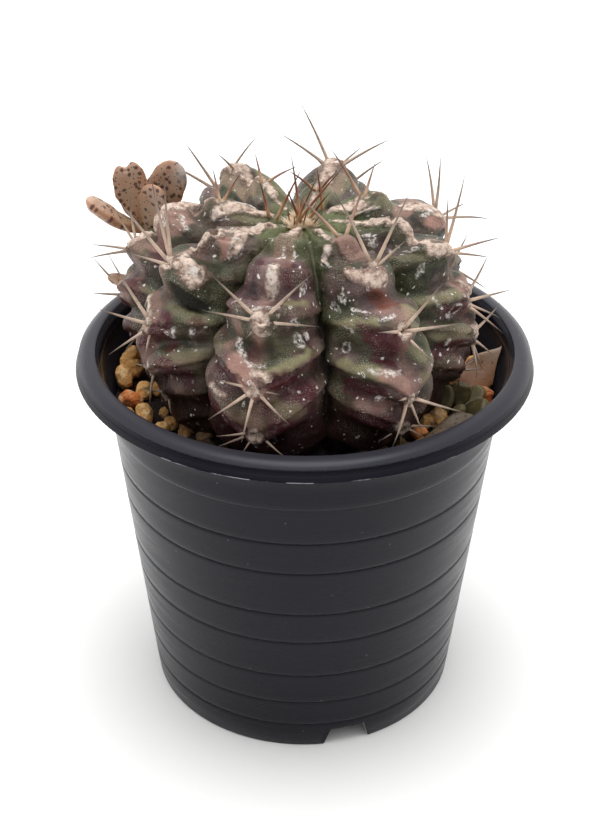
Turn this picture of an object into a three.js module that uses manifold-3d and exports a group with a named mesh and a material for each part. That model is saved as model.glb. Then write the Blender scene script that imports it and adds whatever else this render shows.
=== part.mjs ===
// A ribbed chin cactus in a black plastic nursery pot, with a small speckled succulent beside it.
// Millimetres, +Z up. The origin is on the pot's axis, in the plane that the foot stands on.
// The side with the wide front rib faces -Y.
import * as THREE from "three";
import { mergeVertices } from "three/addons/utils/BufferGeometryUtils.js";
import Module from "manifold-3d";

// Pot
const RIM_RADIUS = 55.2;
const POT_HEIGHT = 95.6;
const LIP_RADIUS = 50.8;
const LIP_HEIGHT = 95;
const SKIRT_TOP = 93.8;
const SKIRT_BOTTOM = 91.2;
const SKIRT_RADIUS = 56;
const SKIRT_THICKNESS = 1.2;
const FOOT_RADIUS = 39.2;
const SHOULDER_RADIUS = 48.8;
const SHOULDER_HEIGHT = 87.3;
const WALL = 1.1;
const BAND_HEIGHTS = [7.6, 15.6, 25, 36.4, 45.7, 58.9, 68.2, 78.8];
const BAND_STEP = 0.25;
const BAND_BEVEL = 0.5;
const FOOT_RECESS = 6;
const FLOOR_THICKNESS = 1.4;
const DRAIN_HOLES = 6;
const DRAIN_RADIUS = 4;
const DRAIN_CIRCLE = 24;
const NOTCHES = 3;
const NOTCH_AZIMUTH = -73.5;
const NOTCH_BOTTOM_WIDTH = 12.6;
const NOTCH_TOP_WIDTH = 8.6;
const NOTCH_HEIGHT = 5.4;
const NOTCH_DEPTH = 8;
const POT_SIDES = 40;

// Filling
const GAP = 0.3;
const BODY_ROOM = 0.5;
const MIX_TOP = 78.5;
const BED_TOP = 82;
const GRAIN_RADIUS = 2.8;
const GRAIN_ROWS = [
  { circle: 44.5, count: 25, height: 83.7 },
  { circle: 39.8, count: 19, height: 82.9 },
];
const GRAIN_SCATTER = 2;
// Least and most stretch of a grain along each of its own axes
const GRAIN_STRETCH = [
  [1, 1.25],
  [1, 1],
  [0.75, 0.95],
];
const GRAIN_SEED = 11;

// Cactus: a crest and a groove profile, as [radius, height] pairs that match one to one
const CACTUS_X = -1;
const CREST = [
  [0, 126.5],
  [7.5, 129],
  [18.5, 129.8],
  [30, 127],
  [37.5, 120.8],
  [42.3, 113],
  [44.3, 104.5],
  [43, 97],
  [39.3, 89.5],
  [34.8, 83.5],
  [26.5, 79.6],
  [12, 78.9],
  [5.5, 75],
  [4, 67],
  [0, 62],
];
const GROOVE = [
  [0, 126.5],
  [5.5, 127.4],
  [12, 126.8],
  [18.5, 123.2],
  [25, 116],
  [29.5, 109.5],
  [33, 103],
  [34.3, 96.5],
  [33, 89.5],
  [30.5, 83.8],
  [24.5, 79.8],
  [12, 78.9],
  [5.5, 75],
  [4, 67],
  [0, 62],
];
const FLANK_FULLNESS = 0.85;

// Distances along a crest from the crown
const FIRST_BUMP = 4;
const FULL_BUMP = 26;
const SEAT_FADE = 72;
const SEAT_DISTANCE = 84;
const BASE_DISTANCE = 92;
const ROOT_ROWS = [97, 103, 108, 112, 117, 123];
const ROW_STEP = 3.2;

// Chin-shaped bumps: their places and spreads are shares of the way between two areoles
const BUMP_CREST = 2.5;
const BUMP_FLANK = 1.5;
const BUMP_SPACING = 13;
const SMALLEST_BUMP = 0.4;
const CHIN_PLACE = 0.14;
const CHIN_SPREAD = 0.17;
const CREASE_PLACE = 0.47;
const CREASE_SPREAD = 0.16;
const CREASE_DEPTH = 0.75;
const UPPER_SLOPE = 0.75;
const NEXT_CHIN = 0.35;
const TUCK_START = 34;
const TUCK_END = 50;
const CHEVRON_START = 44;
const CHEVRON_SLOPE = 0.32;
const CHEVRON_MOST = 7.5;
const ACROSS = [-1, -0.84, -0.58, -0.28, 0, 0.28, 0.58, 0.84];

// Each rib: its azimuth, how far its crest swells beyond the profile, how far its lower half is drawn
// in, and its areoles.
// An areole is its distance along the crest from the crown, then its spines as
// [clock angle, lean from the surface normal, length]. Clock 0 points to the crown
// and positive angles go counterclockwise as seen from above.
const RIBS = [
  {
    azimuth: -103,
    swell: 0.3,
    tuck: 0,
    areoles: [
      { at: 16 },
      { at: 28 },
      { at: 41, spines: [[-55, 60, 14], [45, 70, 15], [-90, 65, 12], [90, 80, 12], [-150, 70, 4]] },
      { at: 55.5, spines: [[-75, 70, 8], [90, 75, 5], [-125, 60, 11], [-175, 55, 11], [125, 75, 10]] },
      { at: 67, spines: [[-80, 65, 8], [-100, 60, 8], [-140, 40, 5], [115, 65, 8]] },
    ],
  },
  {
    azimuth: -57,
    swell: 0,
    tuck: 0,
    areoles: [
      { at: 18, spines: [[-20, 55, 9], [60, 45, 10]] },
      { at: 30, spines: [[-15, 55, 18], [55, 40, 17], [85, 50, 9]] },
      { at: 45.5, spines: [[50, 60, 13], [100, 50, 13], [-80, 55, 11], [160, 65, 9]] },
      { at: 61, spines: [[100, 45, 12], [-140, 65, 11], [170, 55, 8], [-60, 60, 7]] },
      { at: 70, spines: [[-90, 75, 6], [75, 60, 7], [100, 40, 5], [180, 60, 5]] },
    ],
  },
  {
    azimuth: -15,
    swell: 0.2,
    tuck: 3.4,
    areoles: [
      { at: 22 },
      { at: 36, spines: [[30, 50, 11], [40, 40, 17], [150, 35, 12], [165, 55, 9]] },
      { at: 49.5, spines: [[40, 50, 11], [113, 45, 12], [150, 60, 10], [175, 60, 11]] },
      { at: 60, spines: [[50, 60, 10], [150, 50, 8], [-150, 70, 9], [180, 65, 8]] },
      { at: 72, spines: [[60, 60, 6], [70, 40, 7], [150, 50, 5]] },
    ],
  },
  {
    azimuth: 27,
    swell: 0.3,
    tuck: 2.5,
    areoles: [
      { at: 17, spines: [[140, 45, 9], [60, 40, 13]] },
      { at: 40, spines: [[40, 50, 14], [15, 40, 14], [160, 35, 9], [-165, 50, 13]] },
      { at: 56, spines: [[20, 40, 8], [-150, 50, 10], [180, 65, 6]] },
      { at: 69, spines: [[-90, 60, 8], [90, 60, 7], [180, 50, 5]] },
    ],
  },
  {
    azimuth: 74,
    swell: 1,
    tuck: 1,
    areoles: [
      { at: 14, spines: [[-60, 40, 9], [50, 45, 9]] },
      { at: 29, spines: [[75, 31, 17], [-120, 45, 8], [-100, 55, 15], [85, 62, 15]] },
      { at: 43, spines: [[-60, 60, 12], [60, 60, 12], [180, 60, 9]] },
      { at: 56, spines: [[-80, 60, 11], [80, 60, 11], [170, 55, 10]] },
      { at: 68, spines: [[-90, 60, 8], [90, 60, 8]] },
    ],
  },
  {
    azimuth: 122,
    swell: 1.2,
    tuck: 0.5,
    areoles: [
      { at: 18, spines: [[-170, 35, 7], [-70, 65, 8]] },
      { at: 29, spines: [[60, 50, 9]] },
      { at: 42, spines: [[45, 35, 14], [85, 45, 15], [-55, 60, 16]] },
      { at: 55, spines: [[-80, 60, 11], [80, 60, 11], [180, 55, 10]] },
      { at: 68, spines: [[-90, 60, 6], [90, 60, 6]] },
    ],
  },
  {
    azimuth: 167,
    swell: 0.3,
    tuck: 0.5,
    areoles: [
      { at: 20, spines: [[-115, 40, 8], [-45, 45, 8]] },
      { at: 34 },
      { at: 46.5, spines: [[-25, 50, 11], [-40, 28, 9], [140, 25, 10], [160, 42, 11]] },
      { at: 60, spines: [[65, 40, 8], [0, 50, 11]] },
      { at: 71, spines: [[-90, 60, 7], [100, 60, 6]] },
    ],
  },
  {
    azimuth: 209,
    swell: -0.4,
    tuck: 4,
    areoles: [
      { at: 23 },
      { at: 35.5, spines: [[-75, 35, 19], [-40, 48, 20], [-30, 52, 19], [-125, 50, 10]] },
      { at: 51.5, spines: [[-40, 57, 18], [-90, 32, 12], [-165, 50, 11], [145, 75, 7]] },
      { at: 65.5, spines: [[-90, 60, 5], [160, 55, 8]] },
      { at: 75, spines: [[-50, 50, 5], [110, 60, 5]] },
    ],
  },
];
const CROWN_SPINES = 14;
const CROWN_SPINE_LENGTH = 11;
const CROWN_TUFT_RADIUS = 3.6;
const CROWN_TUFT_HEIGHT = 127;
const CROWN_LEAN = [12, 44];
const CROWN_SEED = 5;
const GOLDEN_ANGLE = 137.5;
const SPINE_RADIUS = 0.55;
const SPINE_ROOT = 1.6;
const SPINE_BOW = 0.05;
const SPINE_MIDDLE = 0.8;

// Speckled succulent at the back left: a stem, then its leaves as tips seen from the stem's head
const STEM_FOOT = [-35, 24.5, 74];
const STEM_HEAD = [-40.5, 24.5, 113.5];
const STEM_RADIUS = 1.9;
const LEAVES = [
  { tip: [-45.5, 25.5, 132], width: 8.6, face: [0.25, -1, 0.1] },
  { tip: [-32.6, 24, 132], width: 10, face: [-0.2, -1, 0.15] },
  { tip: [-36.8, 19.5, 128], width: 7.6, face: [-0.35, -1, 0.2] },
  { tip: [-53.2, 20.5, 123.6], width: 7.4, face: [-0.5, -0.35, 1] },
  { tip: [-44.5, 33.5, 124], width: 8, face: [0.2, 1, 0.3] },
  { tip: [-49.6, 20.2, 102.8], width: 6, face: [-0.3, -0.6, 1], low: true },
];
const LEAF_THICKNESS = 2.2;
const LEAF_CUP = 0.06;
// A leaf's spread at shares of its length, from its base to its blunt tip
const LEAF_OUTLINE = [
  [0, 0.26],
  [0.2, 0.5],
  [0.42, 0.86],
  [0.64, 1],
  [0.84, 0.86],
  [0.97, 0.5],
  [1, 0.3],
];
// A leaf's cross-section: a flat lens, as shares of its half width and half thickness
const LEAF_SECTION = [
  [1, 0],
  [0.6, -0.9],
  [-0.6, -0.9],
  [-1, 0],
  [-0.6, 0.9],
  [0.6, 0.9],
];
const LOW_LEAF_HEIGHT = 98;

// Young plant at the right, and two leaves that have dropped on the gravel
const SHOOT_FOOT = [39.6, -9.7, 75];
const SHOOT_HEAD = [39.4, -9.6, 82.6];
const SHOOT_RADIUS = 1.5;
const SHOOT_LEAVES = [
  { tip: [37.8, -1, 85.2], width: 3.4 },
  { tip: [41.4, -3.2, 86], width: 4.4 },
  { tip: [44, -8.2, 84.6], width: 4.4 },
  { tip: [42.2, -14, 86], width: 4.2 },
  { tip: [37.6, -17.6, 86.6], width: 5 },
];
const SHOOT_LEAF_THICKNESS = 2.6;
const LARGE_DROPPED_LEAF = {
  base: [37.4, 3.4, 87.6],
  tip: [48, -0.6, 90],
  width: 10.5,
  face: [-0.1, -0.6, 1],
};
const SMALL_DROPPED_LEAF = {
  base: [29.2, -28.8, 87.2],
  tip: [39.6, -19.6, 88.2],
  width: 7.6,
  face: [0.1, -0.2, 1],
};
const DROPPED_LEAF_THICKNESS = 1.8;

const DEGREE = Math.PI / 180;
const TURN = 2 * Math.PI;
const MERGE = 1e-4;
const { clamp, lerp, smoothstep } = THREE.MathUtils;

const wasm = await Module();
wasm.setup();

/** Repeatable numbers from 0 to 1. */
function randomSource(seed) {
  let state = seed;
  return () => {
    state = (state * 1664525 + 1013904223) % 4294967296;
    return state / 4294967296;
  };
}

/** A smooth mound of height 1 round a place. */
function mound(value, place, spread) {
  return Math.exp(-(((value - place) / spread) ** 2));
}

/** A closed geometry as a solid that can be joined and cut. */
function solidOf(geometry) {
  const bare = geometry.clone();
  bare.deleteAttribute("normal");
  bare.deleteAttribute("uv");
  const merged = mergeVertices(bare, MERGE);
  return new wasm.Manifold(
    new wasm.Mesh({
      numProp: 3,
      vertProperties: merged.attributes.position.array,
      triVerts: new Uint32Array(merged.index.array),
    }),
  );
}

/** A solid as a geometry with its own normals. */
function geometryOf(solid) {
  const mesh = solid.getMesh();
  const geometry = new THREE.BufferGeometry();
  const places = new Float32Array(mesh.numVert * 3);
  for (let vertex = 0; vertex < mesh.numVert; vertex++) {
    const start = vertex * mesh.numProp;
    places.set(mesh.vertProperties.subarray(start, start + 3), vertex * 3);
  }
  geometry.setAttribute("position", new THREE.BufferAttribute(places, 3));
  geometry.setIndex(new THREE.BufferAttribute(mesh.triVerts, 1));
  geometry.computeVertexNormals();
  return geometry;
}

function joined(solids) {
  let level = solids;
  while (level.length > 1) {
    const next = [];
    for (let i = 0; i < level.length; i += 2) {
      next.push(i + 1 < level.length ? level[i].add(level[i + 1]) : level[i]);
    }
    level = next;
  }
  return level[0];
}

/** The largest connected body of a solid. */
function mainBody(solid) {
  return solid.decompose().reduce((a, b) => (a.volume() > b.volume() ? a : b));
}

/** A closed skin over rings of points. The first and last ring may each be a single point. */
function loft(rings) {
  const points = rings.flat();
  const faces = [];
  let start = 0;
  for (let row = 0; row < rings.length - 1; row++) {
    const near = rings[row].length;
    const far = rings[row + 1].length;
    const next = start + near;
    for (let i = 0; i < Math.max(near, far); i++) {
      const j = i + 1;
      if (near > 1) faces.push(start + (i % near), start + (j % near), next + (i % far));
      if (far > 1) faces.push(start + (j % near), next + (j % far), next + (i % far));
    }
    start = next;
  }
  const firstCount = rings[0].length;
  for (let i = 1; i < firstCount - 1; i++) faces.push(0, i + 1, i);
  for (let i = 1; i < points.length - start - 1; i++) faces.push(start, start + i, start + i + 1);
  const geometry = new THREE.BufferGeometry().setFromPoints(points);
  geometry.setIndex(faces);
  return geometry;
}

/** A turned shape about the Z axis from [radius, height] pairs that go round its outline. */
function turned(outline, sides) {
  const points = outline.map(([radius, height]) => new THREE.Vector2(radius, height));
  return new THREE.LatheGeometry(points, sides).rotateX(90 * DEGREE);
}

function cylinder(radius, low, high) {
  const geometry = new THREE.CylinderGeometry(radius, radius, high - low, 16);
  return geometry.rotateX(90 * DEGREE).translate(0, 0, (low + high) / 2);
}

// The pot

function wallRadius(height) {
  return FOOT_RADIUS + ((SHOULDER_RADIUS - FOOT_RADIUS) * height) / SHOULDER_HEIGHT;
}

/** The outside of the wall: each band steps out a little over the one below it. */
function wallOutline() {
  const outline = [[wallRadius(0), 0]];
  for (const height of BAND_HEIGHTS) {
    outline.push([wallRadius(height) - BAND_STEP, height]);
    outline.push([wallRadius(height), height + BAND_BEVEL]);
  }
  outline.push([SHOULDER_RADIUS, SHOULDER_HEIGHT]);
  return outline;
}

/** The rolled rim with its flared skirt, from the wall's outside over the top to the inside. */
function rimOutline() {
  const skirtInside = SKIRT_RADIUS - SKIRT_THICKNESS;
  return [
    [SHOULDER_RADIUS + 0.9, SKIRT_BOTTOM + 1.3],
    [skirtInside - 0.5, SKIRT_BOTTOM + 1.3],
    [skirtInside, SKIRT_BOTTOM],
    [SKIRT_RADIUS, SKIRT_BOTTOM],
    [RIM_RADIUS - 0.4, SKIRT_TOP],
    [RIM_RADIUS, SKIRT_TOP + 0.4],
    [RIM_RADIUS - 0.5, POT_HEIGHT - 0.7],
    [RIM_RADIUS - 1.6, POT_HEIGHT],
    [LIP_RADIUS + 0.8, POT_HEIGHT - 0.1],
    [LIP_RADIUS, LIP_HEIGHT],
    [LIP_RADIUS - 0.7, SKIRT_TOP - 0.4],
  ];
}

function insideOutline() {
  const floorTop = FOOT_RECESS + FLOOR_THICKNESS;
  return [
    [SHOULDER_RADIUS - WALL, SHOULDER_HEIGHT],
    [wallRadius(floorTop) - WALL, floorTop],
    [0, floorTop],
    [0, FOOT_RECESS],
    [wallRadius(FOOT_RECESS) - WALL, FOOT_RECESS],
    [wallRadius(0) - WALL, 0],
    [wallRadius(0), 0],
  ];
}

/** The tool that cuts a wedge-sided notch right through the foot. */
function notchGeometry(azimuth) {
  const shape = new THREE.Shape([
    new THREE.Vector2(-NOTCH_BOTTOM_WIDTH / 2, -1),
    new THREE.Vector2(NOTCH_BOTTOM_WIDTH / 2, -1),
    new THREE.Vector2(NOTCH_TOP_WIDTH / 2, NOTCH_HEIGHT),
    new THREE.Vector2(-NOTCH_TOP_WIDTH / 2, NOTCH_HEIGHT),
  ]);
  return new THREE.ExtrudeGeometry(shape, { depth: NOTCH_DEPTH, bevelEnabled: false })
    .translate(0, 0, -NOTCH_DEPTH / 2)
    .rotateX(90 * DEGREE)
    .translate(0, -FOOT_RADIUS, 0)
    .rotateZ((azimuth + 90) * DEGREE);
}

function potSolid() {
  const outline = [...wallOutline(), ...rimOutline(), ...insideOutline()];
  const cuts = [];
  for (let i = 0; i < NOTCHES; i++) {
    cuts.push(solidOf(notchGeometry(NOTCH_AZIMUTH + (i * 360) / NOTCHES)));
  }
  for (let i = 0; i < DRAIN_HOLES; i++) {
    const angle = ((i + 0.5) * 360 * DEGREE) / DRAIN_HOLES;
    const hole = cylinder(DRAIN_RADIUS, FOOT_RECESS - 1, FOOT_RECESS + FLOOR_THICKNESS + 1);
    cuts.push(
      solidOf(hole.translate(DRAIN_CIRCLE * Math.cos(angle), DRAIN_CIRCLE * Math.sin(angle), 0)),
    );
  }
  return solidOf(turned(outline, POT_SIDES)).subtract(joined(cuts));
}

// The cactus

const splineOf = (pairs) => new THREE.SplineCurve(pairs.map(([r, z]) => new THREE.Vector2(r, z)));
const crestCurve = splineOf(CREST);
const grooveCurve = splineOf(GROOVE);
const crestLength = crestCurve.getLength();

/** Where a rib and the grooves on its two sides lie. */
function ribSector(index) {
  const count = RIBS.length;
  const own = RIBS[index].azimuth;
  const before = RIBS[(index + count - 1) % count].azimuth - (index === 0 ? 360 : 0);
  const after = RIBS[(index + 1) % count].azimuth + (index === count - 1 ? 360 : 0);
  return { own, low: (own + before) / 2, high: (own + after) / 2 };
}

/** A swelling dies out towards the crown and towards the seat in the filling. */
function swellFade(along) {
  const fromCrown = smoothstep(along, FIRST_BUMP, FULL_BUMP);
  return fromCrown * (1 - smoothstep(along, SEAT_FADE, SEAT_DISTANCE));
}

/** How far the surface swells out at a distance along a rib: a chin just below each areole. */
function swelling(areoles, along) {
  const places = [FIRST_BUMP, ...areoles.map((areole) => areole.at), SEAT_DISTANCE];
  if (along <= FIRST_BUMP || along >= SEAT_DISTANCE) return 0;
  const next = places.findIndex((place) => place > along);
  const start = places[next - 1];
  const spacing = places[next] - start;
  const phase = (along - start) / spacing;
  const size = clamp(spacing / BUMP_SPACING, SMALLEST_BUMP, 1);
  const chin = mound(phase, CHIN_PLACE, CHIN_SPREAD);
  const upper = UPPER_SLOPE * smoothstep(phase, 0.5, 1);
  const crease = CREASE_DEPTH * mound(phase, CREASE_PLACE, CREASE_SPREAD);
  const nextChin = NEXT_CHIN * mound(phase, 1 + CHIN_PLACE, CHIN_SPREAD);
  return (chin + upper + nextChin - crease) * size * swellFade(along);
}

/** A point on the cactus at a distance along the crest, and a fraction from crest to groove. */
function cactusPoint(index, along, across, grow = 0) {
  const rib = RIBS[index];
  const sector = ribSector(index);
  const side = Math.abs(across);
  const edge = across < 0 ? sector.own - sector.low : sector.high - sector.own;
  const angle = (sector.own + across * edge) * DEGREE;
  const t = crestCurve.getUtoTmapping(0, along);
  const crest = crestCurve.getPoint(t);
  const groove = grooveCurve.getPoint(t);
  const tangent = crestCurve.getTangent(t);
  const fullness = (1 - side ** 2) ** FLANK_FULLNESS;
  const place = groove.lerp(crest, fullness);
  const chevron = clamp((along - CHEVRON_START) * CHEVRON_SLOPE, 0, CHEVRON_MOST);
  const shifted = along + chevron * side ** 1.2;
  const strength = lerp(BUMP_CREST, BUMP_FLANK, Math.min(1, side * 1.6));
  const own = swelling(rib.areoles, shifted) * strength * (1 - side ** 4);
  const drawnIn = rib.tuck * smoothstep(along, TUCK_START, TUCK_END);
  const full = (rib.swell - drawnIn) * fullness * swellFade(along);
  const bump = own + full + grow;
  const radius = Math.max(0, place.x - tangent.y * bump);
  return new THREE.Vector3(
    CACTUS_X + radius * Math.cos(angle),
    radius * Math.sin(angle),
    place.y + tangent.x * bump,
  );
}

/** The ribbed body from crown to root. It can be grown a little, to make room for itself. */
function cactusBody(grow = 0) {
  const count = Math.floor(BASE_DISTANCE / ROW_STEP);
  const rows = Array.from({ length: count }, (_, i) => (i + 1) * ROW_STEP);
  const rings = [...rows, ...ROOT_ROWS].map((along) =>
    RIBS.flatMap((rib, index) => ACROSS.map((across) => cactusPoint(index, along, across, grow))),
  );
  const [, crown] = CREST[0];
  const [, rootTip] = CREST[CREST.length - 1];
  rings.unshift([new THREE.Vector3(CACTUS_X, 0, crown + grow)]);
  rings.push([new THREE.Vector3(CACTUS_X, 0, rootTip - grow)]);
  return solidOf(loft(rings.reverse()));
}

/** A slim three-sided spine that bows a little towards its root's lower side. */
function spineSolid(root, direction, length, bow) {
  const aside = new THREE.Vector3().crossVectors(direction, bow).normalize();
  const lift = new THREE.Vector3().crossVectors(aside, direction);
  const stations = [
    [-SPINE_ROOT, SPINE_RADIUS, 0],
    [length / 2, SPINE_RADIUS * SPINE_MIDDLE, length * SPINE_BOW],
    [length, 0, 0],
  ];
  const rings = stations.map(([distance, radius, bend]) => {
    const centre = root
      .clone()
      .addScaledVector(direction, distance)
      .addScaledVector(lift, bend);
    if (radius === 0) return [centre];
    return [0, 1, 2].map((corner) => {
      const turn = corner * 120 * DEGREE;
      return centre
        .clone()
        .addScaledVector(aside, radius * Math.cos(turn))
        .addScaledVector(lift, -radius * Math.sin(turn));
    });
  });
  return solidOf(loft(rings));
}

function areoleSpines(index, areole) {
  const azimuth = RIBS[index].azimuth * DEGREE;
  const outward = new THREE.Vector3(Math.cos(azimuth), Math.sin(azimuth), 0);
  const sideways = new THREE.Vector3(-Math.sin(azimuth), Math.cos(azimuth), 0);
  const upward = new THREE.Vector3(0, 0, 1);
  const tangent = crestCurve.getTangent(crestCurve.getUtoTmapping(0, areole.at));
  const crownward = outward.clone().multiplyScalar(-tangent.x).addScaledVector(upward, -tangent.y);
  const normal = outward.clone().multiplyScalar(-tangent.y).addScaledVector(upward, tangent.x);
  const root = cactusPoint(index, areole.at, 0);
  return (areole.spines ?? []).map(([clock, lean, length]) => {
    const direction = crownward
      .clone()
      .multiplyScalar(Math.cos(clock * DEGREE))
      .addScaledVector(sideways, Math.sin(clock * DEGREE))
      .multiplyScalar(Math.sin(lean * DEGREE))
      .addScaledVector(normal, Math.cos(lean * DEGREE));
    return spineSolid(root, direction.normalize(), length, normal);
  });
}

/** The tuft of young spines in the middle of the crown. */
function crownSpines() {
  const random = randomSource(CROWN_SEED);
  const spines = [];
  for (let i = 0; i < CROWN_SPINES; i++) {
    const angle = i * GOLDEN_ANGLE * DEGREE;
    const distance = CROWN_TUFT_RADIUS * Math.sqrt((i + 0.5) / CROWN_SPINES);
    const lean = lerp(...CROWN_LEAN, random()) * DEGREE;
    const outward = new THREE.Vector3(Math.cos(angle), Math.sin(angle), 0);
    const middle = new THREE.Vector3(CACTUS_X, 0, CROWN_TUFT_HEIGHT);
    const root = middle.addScaledVector(outward, distance);
    const direction = outward.clone().multiplyScalar(Math.sin(lean));
    direction.z = Math.cos(lean);
    const length = CROWN_SPINE_LENGTH * lerp(0.65, 1.15, random());
    spines.push(spineSolid(root, direction, length, outward));
  }
  return spines;
}

function cactusSolid() {
  const spines = RIBS.flatMap((rib, index) =>
    rib.areoles.flatMap((areole) => areoleSpines(index, areole)),
  );
  return mainBody(joined([cactusBody(), ...spines, ...crownSpines()]));
}

// The leaves

/** A thick leaf from base to tip: narrow at the base, widest past the middle, blunt at the tip. */
function leafGeometry(base, tip, width, thickness, face) {
  const start = new THREE.Vector3(...base);
  const end = new THREE.Vector3(...tip);
  const length = start.distanceTo(end);
  const ahead = end.clone().sub(start).normalize();
  const aside = new THREE.Vector3().crossVectors(ahead, new THREE.Vector3(...face)).normalize();
  const out = new THREE.Vector3().crossVectors(aside, ahead);
  const rings = LEAF_OUTLINE.map(([share, spread]) => {
    const cup = Math.sin(share * Math.PI) * length * LEAF_CUP;
    const centre = start
      .clone()
      .addScaledVector(ahead, share * length)
      .addScaledVector(out, -cup);
    const half = (width / 2) * spread;
    const thick = (thickness / 2) * (share > 0.9 ? 0.6 : 1);
    return LEAF_SECTION.map(([across, up]) =>
      centre.clone().addScaledVector(aside, across * half).addScaledVector(out, up * thick),
    );
  });
  return loft(rings);
}

function stemSolid(foot, head, radius, grow = 0) {
  const start = new THREE.Vector3(...foot);
  const end = new THREE.Vector3(...head);
  const length = start.distanceTo(end) + 2 * grow;
  const geometry = new THREE.CylinderGeometry(radius + grow, radius + grow, length, 10);
  const turn = new THREE.Quaternion().setFromUnitVectors(
    new THREE.Vector3(0, 1, 0),
    end.clone().sub(start).normalize(),
  );
  geometry.applyQuaternion(turn);
  const middle = start.add(end).multiplyScalar(0.5);
  return solidOf(geometry.translate(middle.x, middle.y, middle.z));
}

function companionSolid() {
  const along = (LOW_LEAF_HEIGHT - STEM_FOOT[2]) / (STEM_HEAD[2] - STEM_FOOT[2]);
  const lowBase = STEM_FOOT.map((value, axis) => value + (STEM_HEAD[axis] - value) * along);
  const leaves = LEAVES.map(({ tip, width, face, low }) =>
    solidOf(leafGeometry(low ? lowBase : STEM_HEAD, tip, width, LEAF_THICKNESS, face)),
  );
  return joined([stemSolid(STEM_FOOT, STEM_HEAD, STEM_RADIUS), ...leaves]);
}

function shootSolid(grow = 0) {
  const thickness = SHOOT_LEAF_THICKNESS + 2 * grow;
  const leaves = SHOOT_LEAVES.map(({ tip, width }) => {
    const face = [SHOOT_HEAD[0] - tip[0], SHOOT_HEAD[1] - tip[1], 4];
    return solidOf(leafGeometry(SHOOT_HEAD, tip, width + 2 * grow, thickness, face));
  });
  return joined([stemSolid(SHOOT_FOOT, SHOOT_HEAD, SHOOT_RADIUS, grow), ...leaves]);
}

function droppedLeaf({ base, tip, width, face }, grow = 0) {
  return solidOf(
    leafGeometry(base, tip, width + 2 * grow, DROPPED_LEAF_THICKNESS + 2 * grow, face),
  );
}

// The filling

/** Everything that stands or lies in the filling, with a little room round it. */
function roomInFilling() {
  return joined([
    cactusBody(BODY_ROOM),
    stemSolid(STEM_FOOT, STEM_HEAD, STEM_RADIUS, GAP),
    shootSolid(GAP),
    droppedLeaf(LARGE_DROPPED_LEAF, GAP),
    droppedLeaf(SMALL_DROPPED_LEAF, GAP),
  ]);
}

/** The widest the filling can be at a height without touching the pot. */
function fillRadius(height) {
  return wallRadius(height) - WALL - GAP;
}

/** A plain round layer of the filling between two heights. */
function layer(low, high) {
  const outline = [
    [0, low],
    [fillRadius(low), low],
    [fillRadius(high), high],
    [0, high],
  ];
  return solidOf(turned(outline, POT_SIDES));
}

function mixSolid(room) {
  return layer(FOOT_RECESS + FLOOR_THICKNESS + GAP, MIX_TOP).subtract(room);
}

/** One angular grain: a stretched, turned ball of flat faces. */
function grainGeometry(size, random) {
  const stretch = GRAIN_STRETCH.map(([least, most]) => size * lerp(least, most, random()));
  return new THREE.IcosahedronGeometry(1, 0)
    .rotateX(TURN * random())
    .rotateY(TURN * random())
    .scale(...stretch)
    .rotateZ(TURN * random());
}

/** Angular grains, sunk in a thin bed of finer gravel. */
function gravelSolid(room) {
  const random = randomSource(GRAIN_SEED);
  const grains = GRAIN_ROWS.flatMap(({ circle, count, height }) =>
    Array.from({ length: count }, (_, i) => {
      const angle = ((i + 0.5 * random()) * TURN) / count;
      const size = GRAIN_RADIUS * lerp(0.85, 1.15, random());
      const most = fillRadius(height) - size * GRAIN_STRETCH[0][1];
      const reach = Math.min(circle + GRAIN_SCATTER * (random() - 0.5), most);
      const place = [reach * Math.cos(angle), reach * Math.sin(angle), height + random()];
      return solidOf(grainGeometry(size, random).translate(...place));
    }),
  );
  return mainBody(joined([layer(MIX_TOP + GAP, BED_TOP), ...grains]).subtract(room));
}

// The assembly

function material(color, roughness) {
  return new THREE.MeshStandardMaterial({ color, roughness, metalness: 0 });
}

function piece(name, solid, look) {
  const mesh = new THREE.Mesh(geometryOf(solid), look);
  mesh.name = name;
  return mesh;
}

const room = roomInFilling();

const plantedPot = new THREE.Group();
plantedPot.add(
  piece("pot", potSolid(), material(0x2f3036, 0.45)),
  piece("potting_mix", mixSolid(room), material(0x1f1a16, 0.95)),
  piece("gravel_topdressing", gravelSolid(room), material(0xa8763c, 0.85)),
  piece("cactus", cactusSolid(), material(0x5f5348, 0.6)),
  piece("companion_plant", companionSolid(), material(0xa07c68, 0.6)),
  piece("young_plant", shootSolid(), material(0x74704a, 0.55)),
  piece("dropped_leaf_large", droppedLeaf(LARGE_DROPPED_LEAF), material(0x8f7a68, 0.65)),
  piece("dropped_leaf_small", droppedLeaf(SMALL_DROPPED_LEAF), material(0x8a7560, 0.7)),
);

export default plantedPot;
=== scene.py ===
"""A ribbed chin cactus in a black nursery pot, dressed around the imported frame.

Sizes in the classes are millimetres. They turn to metres where a mesh is made.
"""

import logging
import math
from dataclasses import dataclass, field
from enum import Enum
from typing import Any

import bmesh
import bpy
import numpy as np
from bpy.types import Material, Node, NodeSocket, NodeTree, Object
from mathutils import Matrix

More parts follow.
